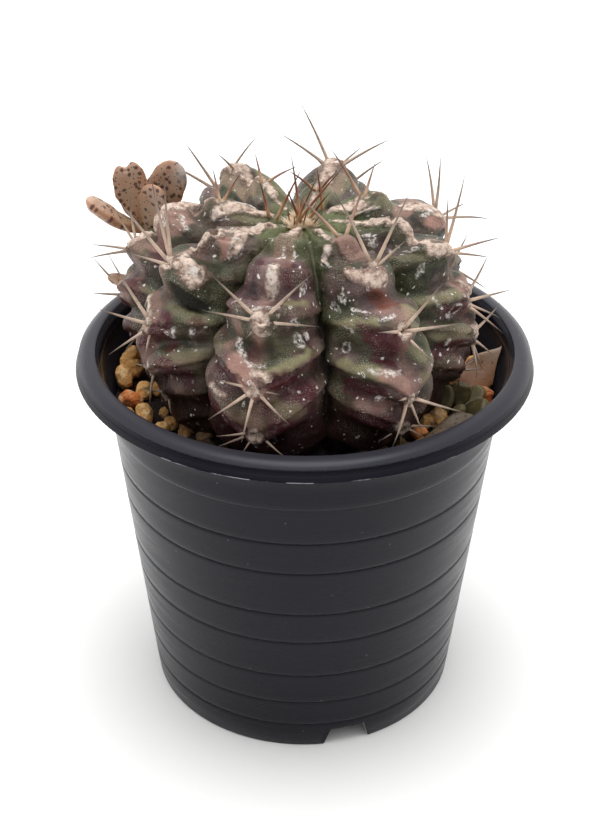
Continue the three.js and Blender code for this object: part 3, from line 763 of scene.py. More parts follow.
@dataclass
class NurseryPot:
    """A round tapered pot with a rolled rim, stepped bands, a recessed floor and three notches."""

    rim_radius: float = 55.2
    height: float = 95.6
    lip_radius: float = 50.8
    lip_height: float = 95.0
    skirt_top: float = 93.8
    skirt_bottom: float = 91.2
    skirt_radius: float = 56.0
    skirt_thickness: float = 1.2
    foot_radius: float = 39.2
    shoulder_radius: float = 48.8
    shoulder_height: float = 87.3
    wall: float = 1.1
    band_heights: tuple[float, ...] = (7.6, 15.6, 25, 36.4, 45.7, 58.9, 68.2)
    ledge_height: float = 78.8
    band_step: float = 0.18
    foot_recess: float = 6.0
    floor_thickness: float = 1.4
    drain_holes: int = 6
    drain_radius: float = 4.0
    drain_circle: float = 24.0
    notches: int = 3
    notch_azimuth: float = -73.5
    notch_low_width: float = 12.6
    notch_high_width: float = 8.6
    notch_height: float = 5.4
    segments: int = 180

    def wall_radius(self, height: float) -> float:
        """Gives the wall's outside radius at a height."""
        return self.foot_radius + (self.shoulder_radius - self.foot_radius) * height / self.shoulder_height

    def outline(self) -> list[tuple[float, float]]:
        """Draws the wall from its foot outside, over the rim and back to the foot inside.

        Returns:
            Pairs of radius and height.
        """
        outside = [(self.wall_radius(0) - 0.3, 0.0), (self.wall_radius(0), 0.4)]
        for height in self.band_heights:
            radius = self.wall_radius(height)
            outside += [(self.wall_radius(height - back), height - back) for back in (2.4, 1.0)]
            outside += [
                (radius - 0.06, height - 0.5), (radius - self.band_step - 0.06, height - 0.12),
                (radius - self.band_step - 0.02, height + 0.06), (radius - 0.03, height + 0.3)
            ]
            outside += [(self.wall_radius(height + on), height + on) for on in (0.7, 2.0)]
        # The wall steps out a little over its top band
        for rise, step in ((-0.4, 0.0), (-0.05, 0.26), (0.3, 0.34), (1.5, 0.3), (4.5, 0.1)):
            outside.append((self.wall_radius(self.ledge_height + rise) + step, self.ledge_height + rise))
        under = self.skirt_radius - self.skirt_thickness
        # Small steps out and up from each corner of the rim, from the wall to the start of its roll
        corners = (
            (
                self.shoulder_radius, self.shoulder_height, (-0.12, -1.2), (0.24, -0.35), (0.3, 0),
                (0.14, 0.5), (0.2, 2.0)
            ), (self.shoulder_radius, self.skirt_bottom, (0.9, 1.3)),
            (under, self.skirt_bottom, (-0.5, 1.3), (0, 0.2), (0.2, 0)),
            (
                self.skirt_radius, self.skirt_bottom, (-0.25, 0), (0, 0.25), (-0.6, 1.35), (-0.78, 1.5),
                (-0.72, 1.68)
            ), (self.rim_radius, self.skirt_top, (-0.25, -0.5), (-0.42, -0.1), (-0.3, 0.15), (0, 0.5))
        )
        rim = [(radius + out, height + up) for radius, height, *steps in corners for out, up in steps]
        # The roll over the top is a low arch, highest just inside its outer edge
        steps = 14
        for i in range(1, steps):
            share = i / steps
            radius = self.rim_radius + (self.lip_radius - self.rim_radius) * share
            rise = 1 - (1 - min(1.0, share / 0.8)) ** 3.2
            fall = 0.35 * max(0.0, share - 0.8) ** 2 / 0.04
            low = self.skirt_top + 0.5
            rim.append((radius, low + (self.height - low) * rise - fall))
        rim += [
            (self.lip_radius, self.lip_height - 0.25), (self.lip_radius - 0.45, self.lip_height - 0.9),
            (self.lip_radius - 0.7, self.skirt_top - 0.4)
        ]
        floor_top = self.foot_recess + self.floor_thickness
        inside = [
            (self.shoulder_radius - self.wall + 0.4, self.shoulder_height + 0.6),
            (self.shoulder_radius - self.wall, self.shoulder_height - 0.4),
            (self.wall_radius(floor_top) - self.wall, floor_top), (0.0, floor_top), (0.0, self.foot_recess),
            (self.wall_radius(self.foot_recess) - self.wall, self.foot_recess),
            (self.wall_radius(0) - self.wall, 0.3), (self.wall_radius(0) - self.wall + 0.2, 0.0)
        ]
        outline = outside + rim + inside
        return [*outline, outline[0]]

    def cutters(self) -> Object:
        """Makes the shapes that cut the notches and the drain holes, as one object."""
        low, high = self.notch_low_width / 2, self.notch_high_width / 2
        mouth = ((-low, -1.0), (low, -1.0), (high, self.notch_height), (-high, self.notch_height))
        cuts = []
        for i in range(self.notches):
            turn = math.radians(self.notch_azimuth + 360 * i / self.notches)
            cos, sin = math.cos(turn), math.sin(turn)
            cuts.append(
                [
                    [
                        (radius * cos - aside * sin, radius * sin + aside * cos, height)
                        for aside, height in mouth
                    ]
                    for radius in (self.foot_radius - 4, self.foot_radius + 4)
                ]
            )
        sides = 32
        steps = [2 * math.pi * k / sides for k in range(sides)]
        circle = [(self.drain_radius * math.cos(step), self.drain_radius * math.sin(step)) for step in steps]
        for i in range(self.drain_holes):
            turn = math.radians(360 * (i + 0.5) / self.drain_holes)
            x, y = self.drain_circle * math.cos(turn), self.drain_circle * math.sin(turn)
            cuts.append(
                [
                    [(x + east, y + north, height) for east, north in circle]
                    for height in (self.foot_recess - 1, self.foot_recess + self.floor_thickness + 1)
                ]
            )
        points: list[Triple] = []
        faces: list[list[int]] = []
        for near, far in cuts:
            start, sides = len(points), len(near)
            points += near + far
            faces.append(list(range(start + sides - 1, start - 1, -1)))
            faces.append(list(range(start + sides, start + 2 * sides)))
            for k in range(sides):
                after = (k + 1) % sides
                faces.append([start + k, start + after, start + sides + after, start + sides + k])
        return mesh_object("pot_cutters", np.array(points), faces)

    def build(self, finish: Material) -> Object:
        """Builds the pot.

        Args:
            finish: The plastic.

        Returns:
            The finished piece.
        """
        outline = self.outline()
        points = np.array([(radius, 0.0, height) for radius, height in outline])
        pot = mesh_object("pot_wall", points, [])
        shape_with(pot, turned_tree(), {"Rows": len(outline), "Segments": self.segments, "Finish": finish})
        settle(pot)
        cutters = self.cutters()
        cut = pot.modifiers.new("cut", "BOOLEAN")
        cut.operation = "DIFFERENCE"
        cut.solver = "EXACT"
        cut.object = cutters
        settle(pot, 32)
        bpy.data.objects.remove(cutters)
        count = len(pot.data.vertices)
        places = np.zeros(count * 3, np.float32)
        pot.data.vertices.foreach_get("co", places)
        places = places.reshape(-1, 3) / MM
        limit = np.minimum(self.wall_radius(places[:, 2]) - self.wall / 2, self.lip_radius - 0.2)
        inner = (np.hypot(places[:, 0], places[:, 1]) < limit) & (places[:, 2] > self.foot_recess)
        layer = pot.data.attributes.new("inside", "FLOAT", "POINT")
        layer.data.foreach_set("value", inner.astype(np.float32))
        return pot


# The cactus


class MarkKind(Enum):
    """What a mark on the skin is: the field it marks, whether it is open in the middle, and its height."""

    CORK = ("cork", False, 0.5)
    HOOP = ("cork", True, 0.6)
    # White scars; a few scar strokes are painted glints on the wax
    SCAR = ("scar", False, 0.08)
    RING = ("scar", True, 0.1)
    # The olive band is partly the skin's own tone and partly a painted highlight on slopes that face up
    OLIVE = ("band", False, 0.0)
    # Wine red is partly the skin's own tone and partly painted shade under the ledges
    WINE = ("chin", False, 0.0)
    ROSE = ("rose", False, 0.0)
    RUST = ("rust", False, 0.0)
    # A dent with painted shade in it
    SHADED_HOLLOW = ("painted_shade", False, -1.2)
    LUMP = ("lump", False, 1.0)


CORK, HOOP, SCAR, RING, OLIVE, WINE, ROSE, RUST, SHADED_HOLLOW, LUMP = MarkKind
# A stroke goes from one place to another: millimetres along the crest from the crown, then millimetres
# aside from it, counterclockwise as seen from above. Its half width comes next, then its strength if not 1.
Stroke = tuple[float, ...]


@dataclass(frozen=True)
class Areole:
    """A spine cushion: millimetres along the crest, then spines as clock angle, lean and length."""

    at: float
    spines: tuple[Triple, ...] = ()
    young: float = 0.0


@dataclass(frozen=True)
class Rib:
    """One rib.

    Its azimuth comes first, then how far its crest swells out, how far its lower half is drawn in, its
    areoles and its marks. Cork is the bark's half width on the crest, banding the strength of its bands.
    """

    azimuth: float
    swell: float
    tuck: float
    areoles: tuple[Areole, ...]
    marks: dict[MarkKind, tuple[Stroke, ...]] = field(default_factory=dict)
    columns: int = 70
    purple: float = 0.0
    cork: float = 1.2
    banding: float = 0.58


RIBS = (
    Rib(
        -103, 0.3, 0.0,
        (
            Areole(16), Areole(28),
            Areole(41, ((-55, 60, 14), (45, 70, 15), (-90, 65, 12), (90, 80, 12), (-150, 70, 4))),
            Areole(55.5, ((-75, 70, 8), (90, 75, 5), (-125, 60, 11), (-175, 55, 11), (125, 75, 10))),
            Areole(67, ((-80, 65, 8), (-100, 60, 8), (-140, 40, 5), (115, 65, 8)))
        ),
        {
            CORK: (
                (5, 0, 12, 0.3, 1.5), (12, 0.3, 16, 0, 1.8), (28.5, 0.5, 33.5, 0.8, 1.5),
                (52, -0.5, 52.5, 3, 1.1), (58, -13, 59, -8, 0.5)
            ), HOOP: ((41, 1, 41, 1, 2.9),),
            SCAR: (
                (20, 0.5, 26, 0.8, 0.35), (20.5, 3.2, 26, 4, 0.3), (29, 0, 33, 1, 0.6),
                (38.3, -2, 38, 3, 0.4), (44.3, 13.6, 44.3, 13.6, 0.7), (40.8, 8, 41.5, 10, 0.4),
                (45.5, -6, 48.5, -3.5, 0.6), (48.8, -4, 50.8, -1, 0.3), (50.8, -1, 50.2, 2.2, 0.3),
                (37, -7, 38, -9, 0.5)
            ), RING: ((45, 10.5, 45, 10.5, 1.1), (33, 9, 33, 9, 0.8)),
            OLIVE: (
                (51.5, 4, 48.5, 12, 1.4), (59, 5, 62, 12, 1.4, 0.7), (63, -3, 65, 2, 1.6, 0.8),
                (36, 5, 37, 11, 1.0, 0.8), (46, 4, 46, 10, 1.0, 0.4)
            ),
            ROSE: (
                (8, 0, 16, 0, 2.6, 0.4), (17, 0, 27, 1.5, 2.6, 0.45), (50, -4.5, 54, -2, 2.2),
                (43, -6, 47, -7, 1.6, 0.5), (57, 0, 57, 4, 2, 0.6)
            ),
            WINE: (
                (27.5, -3, 31, -4, 1.1), (27.5, 3.5, 32, 4.5, 1.1), (44.5, 0, 48.5, -1.5, 1.3),
                (53.5, 6, 56.5, 13, 2.8), (53, -15, 54, -7, 2.2), (58, 1, 60.5, 2.5, 1.5),
                (62, -13, 65, -7, 2.8), (65, 6, 69, 13, 2.8)
            ), SHADED_HOLLOW: ((34.8, -2.5, 35, 3.5, 0.6, 0.5),),
            LUMP: ((41, 1, 41, 1, 2.5, 0.5), (52, 0, 53, 2, 2.2, 0.6))
        }, columns=86, purple=0.1, cork=0, banding=0.3
    ),
    Rib(
        -57, 0.0, 0.0,
        (
            Areole(18, ((-30, 55, 15), (60, 45, 14)), 0.45),
            Areole(30, ((-15, 55, 18), (55, 40, 17), (85, 50, 9))),
            Areole(45.5, ((50, 60, 13), (100, 50, 13), (-80, 55, 11), (160, 65, 9))),
            Areole(61, ((100, 45, 12), (-140, 65, 11), (170, 55, 8), (-60, 60, 7))),
            Areole(70, ((-90, 75, 6), (75, 60, 7), (100, 40, 5), (180, 60, 5)))
        ),
        {
            CORK: (
                (8, -0.5, 18, -3, 1.0), (20, -5.5, 27, -10.5, 1.0), (31.7, -6.3, 33.3, -1.2, 1.5, 0.9),
                (67, -3, 69, -0.5, 1.0)
            ),
            # The white strokes near 42 and 53 mm along are partly painted glints on the wax
            SCAR: (
                (21, -6, 23, -8, 0.5), (38.5, -8, 39.5, -6, 0.6), (42.2, -4.5, 41.5, -0.5, 0.3),
                (53, -9, 54, -5, 0.5), (54.3, -6, 54, -2, 0.3), (60.5, -9, 61, -7, 0.3),
                (43, -13, 44, -12, 0.4)
            ),
            RING: (
                (27, -11, 27, -11, 1.3), (48, -15, 48, -15, 0.9), (36, -10, 36, -10, 0.7),
                (38, -12.5, 38, -12.5, 0.8)
            ),
            OLIVE: (
                (42.5, -15, 42.5, -6, 1.1), (42, 3.5, 52, 4.5, 1.8), (52, -15, 53.5, -7, 1.5),
                (57, 4, 62, 4, 1.8, 0.6)
            ),
            ROSE: (
                (20, -1, 24, 1.5, 2.4, 0.7), (31.5, -6.5, 33.5, -1, 2.0, 0.5), (54, -6, 57.5, -2, 1.6, 0.8),
                (61.5, -13, 63, -4, 1.1, 0.35), (40, -2, 42, 2, 1.8, 0.6)
            ), RUST: ((36.5, -2, 38, 1, 1.8, 0.8),),
            WINE: (
                (45, -8.5, 47.5, -3.5, 2.6), (50, -6, 52, -3, 1.8), (57.5, -16, 59, -8, 2.2),
                (65, -14, 66, -5, 2)
            ), SHADED_HOLLOW: ((36, -7, 36.2, -2, 0.8, 0.6), (56, -14, 57.5, -8, 0.9, 0.4)),
            LUMP: ((21, -1, 24, 1, 2.5, 0.8), (31.5, -6, 33.5, -1, 2.2, 1.0), (47, -3, 48, -2, 2.2, 0.6))
        }, columns=86, cork=0, banding=0.4
    ),
    Rib(
        -15, 0.2, 3.4,
        (
            Areole(22), Areole(36, ((30, 50, 11), (40, 40, 17), (150, 35, 12), (165, 55, 9)), 0.25),
            Areole(49.5, ((40, 50, 11), (113, 45, 12), (150, 60, 10), (175, 60, 11))),
            Areole(60, ((50, 60, 10), (150, 50, 8), (-150, 70, 9), (180, 65, 8))),
            Areole(72, ((60, 60, 6), (70, 40, 7), (150, 50, 5)))
        ),
        {
            CORK: (
                (12, 0, 18, -1.5, 1.4), (18, -2, 26, -1, 1.4), (26, -1, 34, -3.5, 1.5),
                (34.5, -5, 36, -1, 1.6), (45, 0.5, 47.5, 1.5, 1.3), (57, -2.5, 58, 2, 1.1)
            ),
            SCAR: (
                (21.5, -8, 22.5, -7, 0.8), (24, -9.5, 25.5, -10.5, 1.0), (36, -9, 38, -12, 0.4),
                (44, -9.5, 47, -10, 0.3), (28, -8, 28.5, -8, 0.5), (56.5, -10.5, 57.5, -11, 0.5)
            ), RING: ((49.5, -6, 49.5, -6, 1.4), (31, -6, 31, -6, 0.7)),
            OLIVE: ((44, -12, 45.5, -3, 1.3, 0.9), (54.5, -13, 56.5, -5, 1.4), (32, -11, 34, -8, 1.2, 0.5)),
            ROSE: ((44, -1, 47, 3, 2.0, 0.8), (38, -1, 41, 1, 2.2, 0.5), (61, -7, 66, -5, 2.0, 0.25)),
            WINE: ((48.5, -9, 51, -2, 1.9), (58.5, -13, 60.5, -5, 2.2), (64, -10, 67, -8, 1.8, 0.6)),
            SHADED_HOLLOW: ((36, -3.5, 36.2, -1.5, 0.5, 0.8), (38.5, -8, 39, -2, 0.9, 0.5)),
            LUMP: ((33, -4, 35, -2, 2.4, 0.7),)
        }, columns=80
    ),
    Rib(
        27, 0.3, 2.5,
        (
            Areole(17, ((140, 45, 9), (60, 40, 13)), 0.6),
            Areole(40, ((40, 50, 14), (15, 40, 14), (160, 35, 9), (-165, 50, 13))),
            Areole(56, ((20, 40, 8), (-150, 50, 10), (180, 65, 6))),
            Areole(69, ((-90, 60, 8), (90, 60, 7), (180, 50, 5)))
        ),
        {
            CORK: ((10, 0, 17, -4, 1.7), (15, -7, 20, -6, 1.0), (30, -1, 38, -4, 2.4)),
            SCAR: ((20, -7, 21.5, -6, 0.5), (34, -6, 36, -3, 0.8)),
            ROSE: ((28, -4, 32, 3, 2.4, 0.8), (37, -7, 41, -2, 2.4)), OLIVE: ((22, -4, 27, -3, 2.2, 0.6),)
        }, columns=60
    ),
    Rib(
        74, 1.0, 1.0,
        (
            Areole(14, ((-60, 40, 9), (50, 45, 9)), 0.8),
            Areole(29, ((75, 31, 17), (-120, 45, 8), (-100, 55, 15), (85, 62, 15))),
            Areole(43, ((-60, 60, 12), (60, 60, 12), (180, 60, 9))),
            Areole(56, ((-80, 60, 11), (80, 60, 11), (170, 55, 10))),
            Areole(68, ((-90, 60, 8), (90, 60, 8)))
        ),
        {
            CORK: ((22, 0, 31, 0, 1.8),), OLIVE: ((14, -4, 27, -6, 2.4, 0.7),),
            ROSE: ((20, -2, 34, 1, 4.5, 0.4),), LUMP: ((27, 0, 31, 0, 2.5, 0.8),)
        }, columns=56
    ),
    Rib(
        122, 1.2, 0.5,
        (
            Areole(18, ((-170, 35, 7), (-70, 65, 8)), 0.7), Areole(29, ((60, 50, 9),)),
            Areole(42, ((45, 35, 14), (85, 45, 15), (-55, 60, 16))),
            Areole(55, ((-80, 60, 11), (80, 60, 11), (180, 55, 10))),
            Areole(68, ((-90, 60, 6), (90, 60, 6)))
        ),
        {
            CORK: ((26, 1, 33, 2, 1.6),), OLIVE: ((16, -4, 30, -6, 2.6, 0.8), (20, 5, 32, 6, 2.4, 0.6)),
            ROSE: ((22, 3, 34, 3, 4.5, 0.4),), LUMP: ((28, 0, 32, 1, 2.5, 0.8),)
        }, columns=56
    ),
    Rib(
        167, 0.3, 0.5,
        (
            Areole(20, ((-115, 40, 8), (-45, 45, 8)), 0.8), Areole(34),
            Areole(46.5, ((-25, 50, 11), (-40, 28, 9), (140, 25, 10), (160, 42, 11))),
            Areole(60, ((65, 40, 8), (0, 50, 11))), Areole(71, ((-90, 60, 7), (100, 60, 6)))
        ),
        {
            CORK: (
                (10, 0, 17, 1, 1.8), (16, 1.5, 23, 6, 1.6), (28, -4, 30.5, 1, 1.6),
                (32, 1, 37, 3, 1.6, 0.7), (42, 0, 45, 2, 2.0)
            ), SCAR: ((13, -4, 17, -3, 0.9), (30, 4, 32, 10, 0.4), (34, 4, 35, 6, 0.6)),
            RING: ((22.5, 6.5, 22.5, 6.5, 1.5),), OLIVE: ((10, 4, 18, 7, 2.0, 0.5),),
            ROSE: (
                (30, 2, 34, 8, 2.6, 0.8), (36, 2, 40, 6, 2.4, 0.7), (43, 4, 48, 8, 2.4, 0.5),
                (55, 0, 57, 10, 2.2, 0.6)
            ), WINE: ((38, 4, 42, 12, 2.0), (49, 2, 53, 10, 2.4), (60, 0, 62, 10, 2.2)),
            LUMP: ((29, -2, 31, 2, 2.6, 0.7), (43, 0, 45, 2, 2.6, 0.7))
        }, columns=64, purple=0.05
    ),
    Rib(
        209, -0.4, 4.0,
        (
            Areole(23), Areole(35.5, ((-75, 35, 19), (-40, 48, 20), (-30, 52, 19), (-125, 50, 10))),
            Areole(51.5, ((-40, 57, 18), (-90, 32, 12), (-165, 50, 11), (145, 75, 7))),
            Areole(65.5, ((-90, 60, 5), (160, 55, 8))), Areole(75, ((-50, 50, 5), (110, 60, 5)))
        ),
        {
            CORK: (
                (10, -1, 16, -2.5, 2.0), (12, 0.5, 19, 3, 1.5), (19, 3.5, 26, 9, 1.5), (23, 2, 29, -2, 1.2),
                (29, -2, 33.5, 3, 0.9), (34, 3.8, 36.5, 9.3, 1.9, 0.9), (46, -5, 50, 1.5, 0.8)
            ),
            SCAR: (
                (12, -3, 14, -3.5, 0.9), (35, 7, 36, 9, 0.8), (49, 8, 51, 9, 0.4), (48, 12, 50, 13, 0.4),
                (62, 1, 62.5, 2, 0.5)
            ), RING: ((26, 9, 26, 9, 1.6), (51, 8, 51, 8, 0.9)),
            OLIVE: ((44, 3, 45.5, 15, 1.3, 0.6), (55, 6, 58, 15, 1.4, 0.45)),
            ROSE: (
                (23, 4, 26, 7, 2.0), (34, 3.5, 36.5, 9.5, 2.2, 0.45), (45, -4, 48, 1, 2.0, 0.6),
                (61, -1, 63, 3, 2.4, 0.45), (66, 3, 68, 13, 1.5, 0.4)
            ),
            WINE: (
                (48, 4, 54, 7, 2.8), (53, 3, 60, -5, 2.0), (60, 8, 63, 13, 2.6), (46, 12, 50, 15, 1.8, 0.6)
            ), SHADED_HOLLOW: ((35.5, 5.3, 36.2, 6.6, 0.4, 0.45), (40.5, 4, 42, 11, 1.6, 0.8)),
            LUMP: ((15, 0, 26, 0, 4.0, -0.7), (35, 5, 37, 9, 2.4, 1.0))
        }, columns=80
    )
)


class Profile:
    """A smooth curve through pairs of radius and height."""

    def __init__(self, pairs: list[tuple[float, float]]) -> None:
        """Keeps the pairs and measures the curve's length along them."""
        self.pairs = np.array(pairs, float)
        steps = np.linspace(0, len(pairs) - 1, 4000)
        lengths = np.hypot(*np.diff(self.point(steps), axis=0).T)
        self.steps = steps
        self.distances = np.concatenate([[0], np.cumsum(lengths)])

    def point(self, step: Array) -> Array:
        """Gives the curve's radius and height at steps counted in pairs."""
        last = len(self.pairs) - 1
        index = np.clip(np.floor(step).astype(int), 0, last - 1)
        share = (step - index)[..., None]
        before, start = self.pairs[np.maximum(index - 1, 0)], self.pairs[index]
        end, after = self.pairs[index + 1], self.pairs[np.minimum(index + 2, last)]
        leave, arrive = (end - before) / 2, (after - start) / 2
        cubic = 2 * start - 2 * end + leave + arrive
        square = 3 * end - 3 * start - 2 * leave - arrive
        return cubic * share**3 + square * share**2 + leave * share + start

    def step_at(self, distance: Array) -> Array:
        """Gives the step that lies that many millimetres along the curve."""
        return np.interp(distance, self.distances, self.steps)

    def tangent(self, step: Array) -> Array:
        """Gives the curve's direction at a step."""
        near = 1e-3
        ahead = self.point(np.minimum(step + near, self.steps[-1]))
        behind = self.point(np.maximum(step - near, 0))
        return unit(ahead - behind)


ROOT = ((12, 78.9), (5.5, 75), (4, 67), (0, 62))
CREST = Profile(
    [
        (0, 126.5), (7.5, 129), (18.5, 129.8), (30, 127), (37.5, 120.8), (42.3, 113), (44.3, 104.5),
        (43, 97), (39.3, 89.5), (34.8, 83.5), (26.5, 79.6), *ROOT
    ]
)
GROOVE = Profile(
    [
        (0, 126.5), (5.5, 127.4), (12, 126.8), (18.5, 123.2), (25, 116), (29.5, 109.5), (33, 103),
        (34.3, 96.5), (33, 89.5), (30.5, 83.8), (24.5, 79.8), *ROOT
    ]
)


@dataclass
class RibbedBody:
    """The body of the cactus: eight ribs between a crest profile and a groove profile."""

    middle_x: float = -1.0
    fullness: float = 0.85
    first_bump: float = 4.0
    full_bump: float = 26.0
    seat_fade: float = 72.0
    seat: float = 84.0
    tuck_start: float = 34.0
    tuck_end: float = 50.0
    base: float = 92.0
    row_step: float = 0.55
    bump_crest: float = 2.5
    bump_flank: float = 1.5
    bump_spacing: float = 13.0
    chevron_start: float = 38.0
    chevron_slope: float = 0.6
    chevron_most: float = 9.5
    chevron_power: float = 0.75
    ledge: float = 1.15
    seed: int = 7
    # Rows under the gravel lie farther apart
    buried_rows: tuple[float, ...] = (95, 98, 103, 108, 112, 117, 123)
    crest: Profile = CREST
    groove: Profile = GROOVE

    def sector(self, index: int) -> Triple:
        """Gives a rib's azimuth and those of the grooves beside it, in degrees."""
        own = RIBS[index].azimuth
        before = RIBS[index - 1].azimuth - (360 if index == 0 else 0)
        after = RIBS[(index + 1) % len(RIBS)].azimuth + (360 if index == len(RIBS) - 1 else 0)
        return own, (own + before) / 2, (own + after) / 2

    def fade(self, along: Array) -> Array:
        """A swelling dies out towards the crown and towards the seat in the gravel."""
        rise = smoothstep(along, self.first_bump, self.full_bump)
        return rise * (1 - smoothstep(along, self.seat_fade, self.seat))

    def phase(self, areoles: tuple[Areole, ...], along: Array) -> tuple[Array, Array, Array]:
        """Says where places lie between their areoles.

        Args:
            areoles: The rib's areoles.
            along: Distances from the crown.

        Returns:
            The share of the way from one areole to the next, the way's length, and the nearer end's number.
        """
        places = np.array([self.first_bump, *[areole.at for areole in areoles], self.seat])
        number = np.clip(np.searchsorted(places, along, side="right"), 1, len(places) - 1)
        start, end = places[number - 1], places[number]
        return np.clip((along - start) / (end - start), 0, 1), end - start, number

    def swelling(self, areoles: tuple[Areole, ...], along: Array) -> Array:
        """Gives how far the surface swells out: a chin just below each areole, then a crease."""
        phase, spacing, _ = self.phase(areoles, along)
        size = np.clip(spacing / self.bump_spacing, 0.4, 1)
        shape = mound(phase, 0.14, 0.17) + 0.75 * smoothstep(phase, 0.5, 1)
        shape = shape + 0.35 * mound(phase, 1.14, 0.17) - 0.75 * mound(phase, 0.47, 0.16)
        outside = (along <= self.first_bump) | (along >= self.seat)
        return np.where(outside, 0, shape * size * self.fade(along))

    def shifted(self, along: Array, side: Array) -> Array:
        """Bends the bands up towards the grooves, as a V on each rib."""
        chevron = np.clip((along - self.chevron_start) * self.chevron_slope, 0, self.chevron_most)
        return along + chevron * side**self.chevron_power

    def place(self, index: int, along: Array, across: Array) -> Array:
        """Gives points on a rib.

        Args:
            index: The rib's number.
            along: Distances down the crest.
            across: From -1 in one groove to 1 in the other.

        Returns:
            Points in millimetres.
        """
        own, low, high = self.sector(index)
        side = np.abs(across)
        angle = np.radians(own + across * np.where(across < 0, own - low, high - own))
        step = self.crest.step_at(along)
        tangent = self.crest.tangent(step)
        full = (1 - side**2) ** self.fullness
        spot = self.groove.point(step) * (1 - full)[..., None] + self.crest.point(step) * full[..., None]
        strength = self.bump_crest + (self.bump_flank - self.bump_crest) * np.minimum(1, side * 1.6)
        bump = self.swelling(RIBS[index].areoles, self.shifted(along, side)) * strength * (1 - side**4)
        drawn_in = RIBS[index].tuck * smoothstep(along, self.tuck_start, self.tuck_end)
        bump = bump + (RIBS[index].swell - drawn_in) * full * self.fade(along)
        radius = np.maximum(0, spot[..., 0] - tangent[..., 1] * bump)
        height = spot[..., 1] + tangent[..., 0] * bump
        return np.stack([self.middle_x + radius * np.cos(angle), radius * np.sin(angle), height], axis=-1)

    def rows(self) -> Array:
        """Gives the distances along the crest at which there are rows of points."""
        fine = np.arange(self.row_step, self.base, self.row_step)
        return np.concatenate([fine, self.buried_rows])

    def columns(self, index: int) -> Array:
        """Gives the places across a rib, closer together towards the grooves."""
        even = np.linspace(-1, 1, RIBS[index].columns, endpoint=False)
        return np.sin(even * math.pi / 2) * 0.5 + even * 0.5

    def grid(self) -> dict[str, Array]:
        """Lays out the whole surface.

        Returns:
            Points and fields, each as rows down the body by columns round it.
        """
        rows = self.rows()
        parts: dict[str, list[Array]] = {}
        for index in range(len(RIBS)):
            along, across = np.meshgrid(rows, self.columns(index), indexing="ij")
            points = self.place(index, along, across)
            steps = np.linalg.norm(np.diff(points, axis=1), axis=2)
            run = np.concatenate([np.zeros((len(rows), 1)), np.cumsum(steps, axis=1)], axis=1)
            crest_column = RIBS[index].columns // 2
            own = {
                "points": points, "along": along, "side": np.abs(across),
                "aside": run - run[:, crest_column : crest_column + 1],
                "rib": np.full(along.shape, float(index))
            }
            for key, values in own.items():
                parts.setdefault(key, []).append(values)
        return {key: np.concatenate(values, axis=1) for key, values in parts.items()}

    def normals(self, points: Array) -> Array:
        """Gives the surface's outward directions."""
        down = np.gradient(points, axis=0)
        round_about = np.roll(points, -1, axis=1) - np.roll(points, 1, axis=1)
        return unit(np.cross(down, round_about))

    def patch(self, stroke: Stroke, along: Array, aside: Array) -> Array:
        """Gives the distance from a stroke's edge, below 0 inside it."""
        line = np.array([stroke[2] - stroke[0], stroke[3] - stroke[1]])
        here = np.stack([along - stroke[0], aside - stroke[1]], axis=-1)
        share = np.clip(here @ line / max(float(line @ line), 1e-6), 0, 1)
        return np.linalg.norm(here - share[..., None] * line, axis=-1) - stroke[4]

    def dress(self, sheet: dict[str, Array], noise: SpaceNoise) -> tuple[Array, dict[str, Array]]:
        """Works out the skin's relief and the fields that its colours follow.

        Args:
            sheet: The laid-out surface.
            noise: The seeded noise.

        Returns:
            The relief in millimetres, and the named fields.
        """
        points, along, side, aside = (sheet[key] for key in ("points", "along", "side", "aside"))
        small, broad = noise.at(points, 2.6), noise.at(points, 9.0)
        flow = self.shifted(along, side) + 0.9 * broad + 0.5 * small
        relief = np.zeros(along.shape)
        fields = {key: np.full(along.shape, FAR) for key in ("cork", "scar")}
        fields |= {
            key: np.zeros(along.shape) for key in ("band", "chin", "rose", "rust", "painted_shade", "purple")
        }
        for index, rib in enumerate(RIBS):
            own = np.nonzero(sheet["rib"][0] == index)[0]
            where = (slice(None), slice(int(own[0]), int(own[-1]) + 1))
            part = {key: values[where] for key, values in fields.items()}
            s, a, lumps = along[where], aside[where], relief[where]
            part["purple"][:] = rib.purple
            phase, _, _ = self.phase(rib.areoles, flow[where])
            # The slope above an areole is paler, partly its own olive tone and partly a painted highlight
            # where it faces the light above, and ends sharply at the areole's level
            pale = smoothstep(phase, 0.64, 0.84) * (1 - smoothstep(phase, 0.95, 0.99))
            lumps += self.ledge * smoothstep(phase, 0.5, 0.92) * (1 - smoothstep(phase, 0.96, 1.0)) * (
                smoothstep(s, 26, 40) * smoothstep(np.abs(a), 1.5, 5.0)
            )
            edge = smoothstep(phase, 0.84, 0.92) * (1 - smoothstep(phase, 0.96, 1.0)) * smoothstep(s, 26, 40)
            uneven = rib.banding * np.clip(0.6 + 0.9 * noise.at(points[where], 5.0), 0, 1)
            part["band"][:] = pale * smoothstep(s, 34, 48) * smoothstep(np.abs(a), 2.5, 6.0) * uneven
            # Painted highlight: a rose tint where the ledge edges and the upper crest catch the light
            part["rose"][:] = 0.45 * np.maximum(edge * uneven, smoothstep(s, 16, 24) * mound(a, 0, 1.8))
            # Wine red under each areole's chin, partly the skin's own tone and partly painted shade under
            # the ledge
            part["chin"][:] = 1.25 * mound(phase, 0.16, 0.2) * smoothstep(s, 36, 50) * uneven
